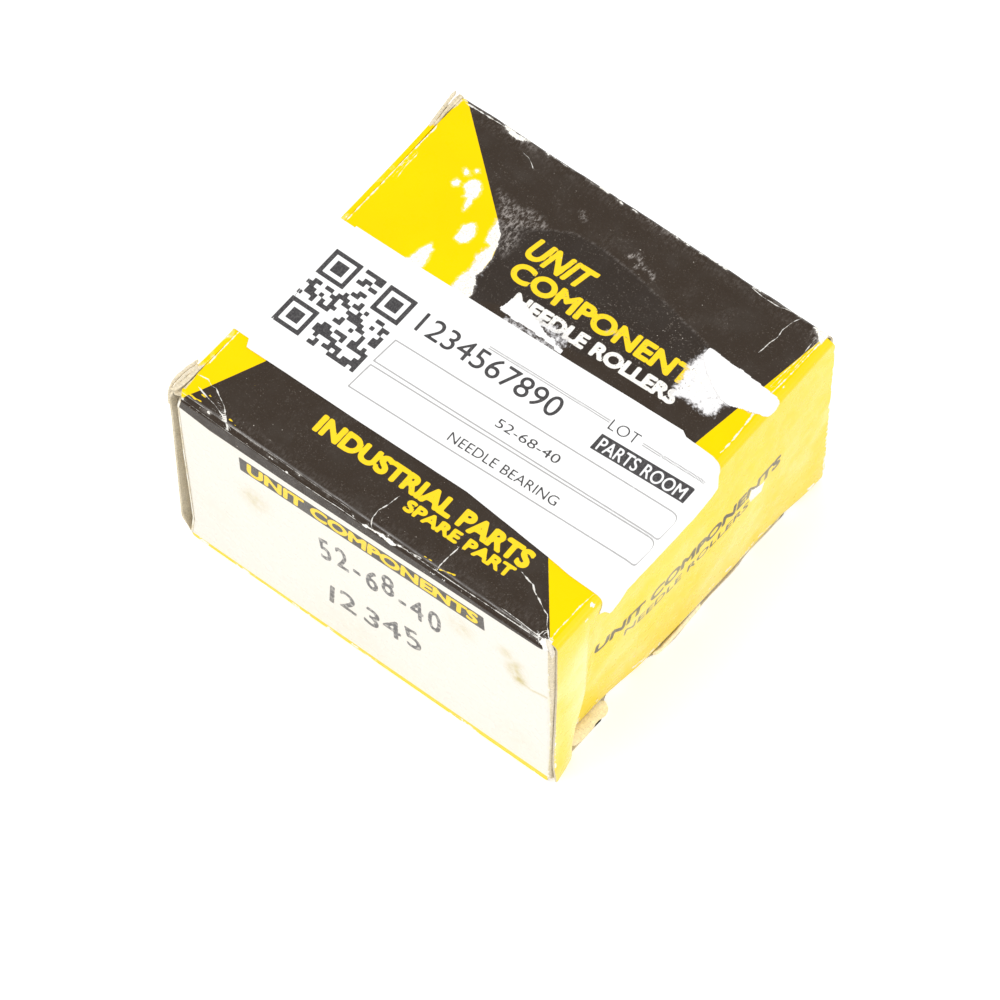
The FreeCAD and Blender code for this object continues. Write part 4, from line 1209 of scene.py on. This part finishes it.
M_PLY_L = make_raw("split_ply_light", 1.42, True, (0.70, 0.62, 0.42))
M_PLY_C = make_raw("split_ply_corner", 0.98, True, (0.72, 0.66, 0.55))
ply("split_ply_bottom_front", [(34.35, -28.6, 0.44), (34.35, -25.0, 0.48), (34.3, -22.0, 0.48), (34.3, -18.7, 0.44)], 3.5, 0.2, (0, 0, 1), 11, [M_PLY_L] * 3, "carton")
ply("split_ply_bottom_mid", [(34.95, -7.6, 0.46), (35.4, -6.2, 0.50), (35.5, -2.0, 0.50), (35.35, 4.6, 0.46)], 1.15, 0.18, (0, 0, 1), 13, [M_PLY_L] * 3, "carton")
ply("split_ply_front_right", [(34.7, -34.45, 42.55), (35.6, -34.85, 42.42), (36.3, -35.15, 41.9), (36.60, -35.3, 41.1), (36.58, -35.38, 40.3)], 1.1, 0.2, (1.0, -1.0, 1.2), 15, [M_PLY_C] * 3, "carton")

# ---------------------------------------------------------------- 4. the labels
def y_up(s):
    return np.interp(s, [-33.8, -20.81, 4.88, 28.65, 29.03, 35.0, 36.4, 37.4, 38.4], [5.57, 5.76, 6.53, 7.37, 6.75, 6.5, 6.1, 5.5, 5.2])


def y_low(s):
    return np.interp(s, [-34.45, -33.86, -33.74, -14.39, 9.38, 26.08, 30.58, 36.36, 40], [-20.8, -20.8, -22.28, -22.09, -21.64, -23.05, -23.57, -23.69, -23.75])


def s_right(y):
    z = np.interp(y, [-24.2, -23.4, -22.4, -21.6, -20.9, -20.2, -18.8, -17.2, -10.5, -5.5, -1.0, 3.6, 5.5, 6.2, 7.5],
                  [37.6, 37.2, 36.3, 34.9, 33.7, 33.5, 34.6, 36.2, 36.1, 36.0, 35.8, 36.4, 37.3, 38.4, 40.5])
    z = z + 0.10 * noise(np.stack([y, 0 * y, 0 * y], -1), 0.9, 171)
    return S_LID + ARC + (H - R_LID - z)


A_, B_ = np.meshgrid(np.linspace(0, 1, 441), np.linspace(0, 1, 173), indexing="ij")
s_, y_ = -34.45 + A_ * 72.6, -22 + B_ * 28
for _ in range(6):
    y_ = y_low(s_) + B_ * (y_up(s_) - y_low(s_))
    s_ = -34.45 + A_ * (s_right(y_) + 34.45)
edge_d = np.minimum(np.minimum(A_, 1 - A_) * 76, np.minimum(B_, 1 - B_) * 28)
lift = 0.13 + 0.10 * np.exp(-edge_d / 0.8) * np.clip(fbm(at2(s_, y_), 6, 181), 0, 1)
Pb, Nb = upper(s_, y_)
Pb = Pb + Nb * lift[..., None]
ink = Field(s_, y_)
# a matrix of random modules: it encodes nothing
nm = 21
mod = RNG.random((nm, nm)) < 0.5
for (i0, j0) in ((0, 0), (0, nm - 7), (nm - 7, nm - 7)):
    i1, j1 = max(i0 - 1, 0), max(j0 - 1, 0)
    mod[i1:i0 + 8, j1:j0 + 8] = False
    mod[i0:i0 + 7, j0:j0 + 7] = True
    mod[i0 + 1:i0 + 6, j0 + 1:j0 + 6] = False
    mod[i0 + 2:i0 + 5, j0 + 2:j0 + 5] = True
qx0, qy0, qs_ = -34.15, -15.85, 16.3
pad = np.pad(mod, 1)
segs = []
for i in range(nm + 1):
    for j in range(nm + 1):
        x0_, y0_ = qx0 + i * qs_ / nm, qy0 + j * qs_ / nm
        if pad[i, j + 1] != pad[i + 1, j + 1] and j < nm:
            segs.append((x0_, y0_, x0_, y0_ + qs_ / nm))
        if pad[i + 1, j] != pad[i + 1, j + 1] and i < nm:
            segs.append((x0_, y0_, x0_ + qs_ / nm, y0_))
ink.shape_segs(np.array(segs))
ink.text("1234567890", px(384, 661), px(803, 652), 3.75, 0.02)
ink.text("LOT", px(921, 594), px(1004, 590), 2.05, -0.02)
ink.poly([px(922, 612), px(1190, 598), px(1190, 648), px(922, 662)])
ink.text("52-68-40", px(705, 754), px(889, 748), 1.65, 0.0)
ink.text("NEEDLE BEARING", px(640, 855), px(957, 843), 1.75, 0.0)
inv = Field(s_, y_)
inv.text("PARTS ROOM", px(934, 656), px(1180, 643), 2.35, 0.03)
line = Field(s_, y_)


def rounded(pts_top, pts_bot, r=1.2):
    """a box with square left corners and rounded right ones"""
    (ax, ay), (bx, by) = pts_top
    (cx, cy), (dx, dy) = pts_bot
    out = [(ax, ay), (bx - r, by)]
    for t in np.linspace(0, math.pi / 2, 6)[1:]:
        out.append((bx - r + r * math.sin(t), by - r + r * math.cos(t)))
    for t in np.linspace(0, math.pi / 2, 6):
        out.append((dx - r + r * math.cos(t), dy + r - r * math.sin(t)))
    out += [(cx, cy), (ax, ay)]
    return out


line.line(rounded((px(370, 712), px(1212, 681)), (px(365, 790), px(1208, 763))), 0.13)
line.line(rounded((px(366, 803), px(1212, 770)), (px(362, 883), px(1208, 853))), 0.13)
line.line([px(560, 585), px(916, 571)], 0.10).line([px(560, 591), px(916, 577)], 0.10)
line.line([px(1016, 574), px(1196, 567)], 0.10).line([px(1016, 580), px(1196, 573)], 0.10)
ls = np.zeros(s_.shape)
cx, cy = px(1125, 915)
ls = np.maximum(ls, 0.30 * np.exp(-(((s_ - cx) / 2.4) ** 2 + ((y_ - cy) / 1.2) ** 2)))
ls = np.maximum(ls, 0.22 * np.exp(-edge_d / 0.5))
LB = {"d_ink": ink.a, "d_inv": inv.a, "d_line": line.a, "stain": ls}
label = build("main_label", Pb, Nb, 0.10, [M_LABEL, M_LABEL, M_LABEL], LB)
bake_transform(label)
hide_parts("label_main", "label_right_tail")

# the narrower label under it, showing at the left and lapping over the raw edge
a_, b_ = np.meshgrid(np.linspace(0, 1, 33), np.linspace(0, 1, 105), indexing="ij")
path_x = np.interp(a_, [0, .60, .75, .88, 1], [-33.5, -36.5, -36.95, -37.25, -37.45])
path_z = np.interp(a_, [0, .60, .75, .88, 1], [0, 0, 0.02, 0.0, -0.06])
sy = -20.8 + b_ * 26.05
Ps = np.stack([path_x, sy, H + 0.06 + ripple(np.maximum(path_x, -36.5), sy) * (a_ < .6) - 0.10 * (a_ >= .6) + path_z], -1)
lean = smooth(a_, .75, 1.0) * math.radians(25)
Ns = np.stack([-np.sin(lean), 0 * lean, np.cos(lean)], -1)
blank = lambda sh: {"d_ink": np.full(sh, -9.), "d_inv": np.full(sh, -9.), "d_line": np.full(sh, -9.), "stain": np.full(sh, 0.1)}
strip = build("under_label", Ps, Ns, 0.05, [M_LABEL] * 3, blank(a_.shape))
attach(strip, "carton"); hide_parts("under_label_strip")

qa, b_ = np.meshgrid(np.concatenate([np.linspace(2.70, 2.0, 8, endpoint=False), np.linspace(2.0, 1.865, 9)]), np.linspace(0, 1, 53), indexing="ij")
sy = -20.75 + b_ * 25.9
Pu, Nu = left_face(qa, sy)
Pu = Pu + Nu * 0.11
utail = build("under_label_left_tail", Pu, Nu, 0.08, [M_LABEL] * 3, blank(qa.shape))
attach(utail, "left_lid"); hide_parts("under_label_tail")


# torn scraps of the old label
def place(x, y):
    P_, N_ = upper(x, y)
    h = 0.10 + 0.10 * np.clip(fbm(at2(x, y), 2.2, 191), -0.6, 1)
    return P_ + N_ * h[:, None], N_


scrap = patch("old_label_scrap_right", [(22.4, 21.95), (25.89, 21.8), (30.02, 21.6), (33.4, 21.38), (35.96, 21.2), (37.3, 20.75), (37.95, 19.7), (37.5, 18.2),
                                        (36.6, 17.1), (34.87, 16.45), (33.0, 15.85), (31.2, 15.3), (29.4, 15.5), (28.0, 16.1), (26.6, 17.0), (25.2, 17.9), (23.9, 18.9), (22.7, 20.2)],
              place, 0.09, 0.16, [M_SCRAP], fray=0.09, seed=5)
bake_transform(scrap)
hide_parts("old_label_remnant")
scrap2 = patch("old_label_scrap_left", [(-6.2, 10.9), (-7.2, 9.6), (-7.3, 7.6), (-6.4, 7.0), (-4.6, 7.2), (-2.4, 7.4), (-0.8, 7.3), (0.7, 7.0), (2.6, 6.9), (5.3, 6.6), (5.4, 7.3),
                                       (3.6, 7.9), (1.6, 8.3), (-0.4, 8.8), (-1.9, 9.5), (-3.6, 10.2), (-4.8, 10.6)],
               place, 0.09, 0.2, [M_SCRAP], fray=0.28, seed=7)
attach(scrap2, "carton")

# ---------------------------------------------------------------- 5. steel
for n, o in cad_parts.items():
    m = M_RING if n == "outer_ring" else M_CAGE if n == "needle_cage" else M_NEEDLE if n.startswith("needle_pair") else None
    if m:
        o.data.materials.clear()
        o.data.materials.append(m)

# ---------------------------------------------------------------- floor, light, camera
me = bpy.data.meshes.new("floor")
me.from_pydata([(-3, -3, -0.0001), (3, -3, -0.0001), (3, 3, -0.0001), (-3, 3, -0.0001)], [], [(0, 1, 2, 3)])
floor = bpy.data.objects.new("floor", me)
bpy.context.scene.collection.objects.link(floor)
g = G("floor")
g.out((0.84, 0.84, 0.84), 0.9, spec=0.05)
g.b.inputs["Emission Color"].default_value = (1, 1, 1, 1)
g.b.inputs["Emission Strength"].default_value = 0.35
me.materials.append(g.m)

w = bpy.data.worlds.new("studio")
bpy.context.scene.world = w
w.use_nodes = True
bg = next(n for n in w.node_tree.nodes if n.type == "BACKGROUND")
bg.inputs["Color"].default_value = (1, 1, 1, 1)
bg.inputs["Strength"].default_value = 0.90


def area(name, loc, target, size, power):
    d = bpy.data.lights.new(name, "AREA")
    d.shape = "RECTANGLE"
    d.size, d.size_y = size
    d.energy = power
    o = bpy.data.objects.new(name, d)
    bpy.context.scene.collection.objects.link(o)
    o.location = loc
    o.rotation_euler = (Vector(target) - Vector(loc)).to_track_quat("-Z", "Y").to_euler()
    return o


area("key", (-0.42, -0.42, 1.25), (0, 0, 0.02), (0.75, 0.55), 5.5)
area("glint", (-0.43, -0.50, 1.18), (0, 0, 0.03), (0.30, 0.10), 2.2)
area("side", (1.15, 0.15, 0.75), (0.03, 0, 0.02), (0.9, 0.7), 4.7)

cam = bpy.data.cameras.new("camera")
cam.sensor_width = 36
cam.lens = 207.784
cam.clip_start = 0.05
cam.clip_end = 20
co = bpy.data.objects.new("camera", cam)
bpy.context.scene.collection.objects.link(co)
right, down, fwd = (0.78423, 0.62045, -0.00499), (0.53091, -0.67517, -0.51213), (-0.32112, 0.39898, -0.85889)
M = Matrix.Identity(4)
for r_ in range(3):
    M[r_][0], M[r_][1], M[r_][2] = right[r_], -down[r_], -fwd[r_]
M.translation = Vector((0.296118, -0.369951, 0.796653))
co.matrix_world = M
bpy.context.scene.camera = co
bpy.context.scene.view_settings.view_transform = "Standard"
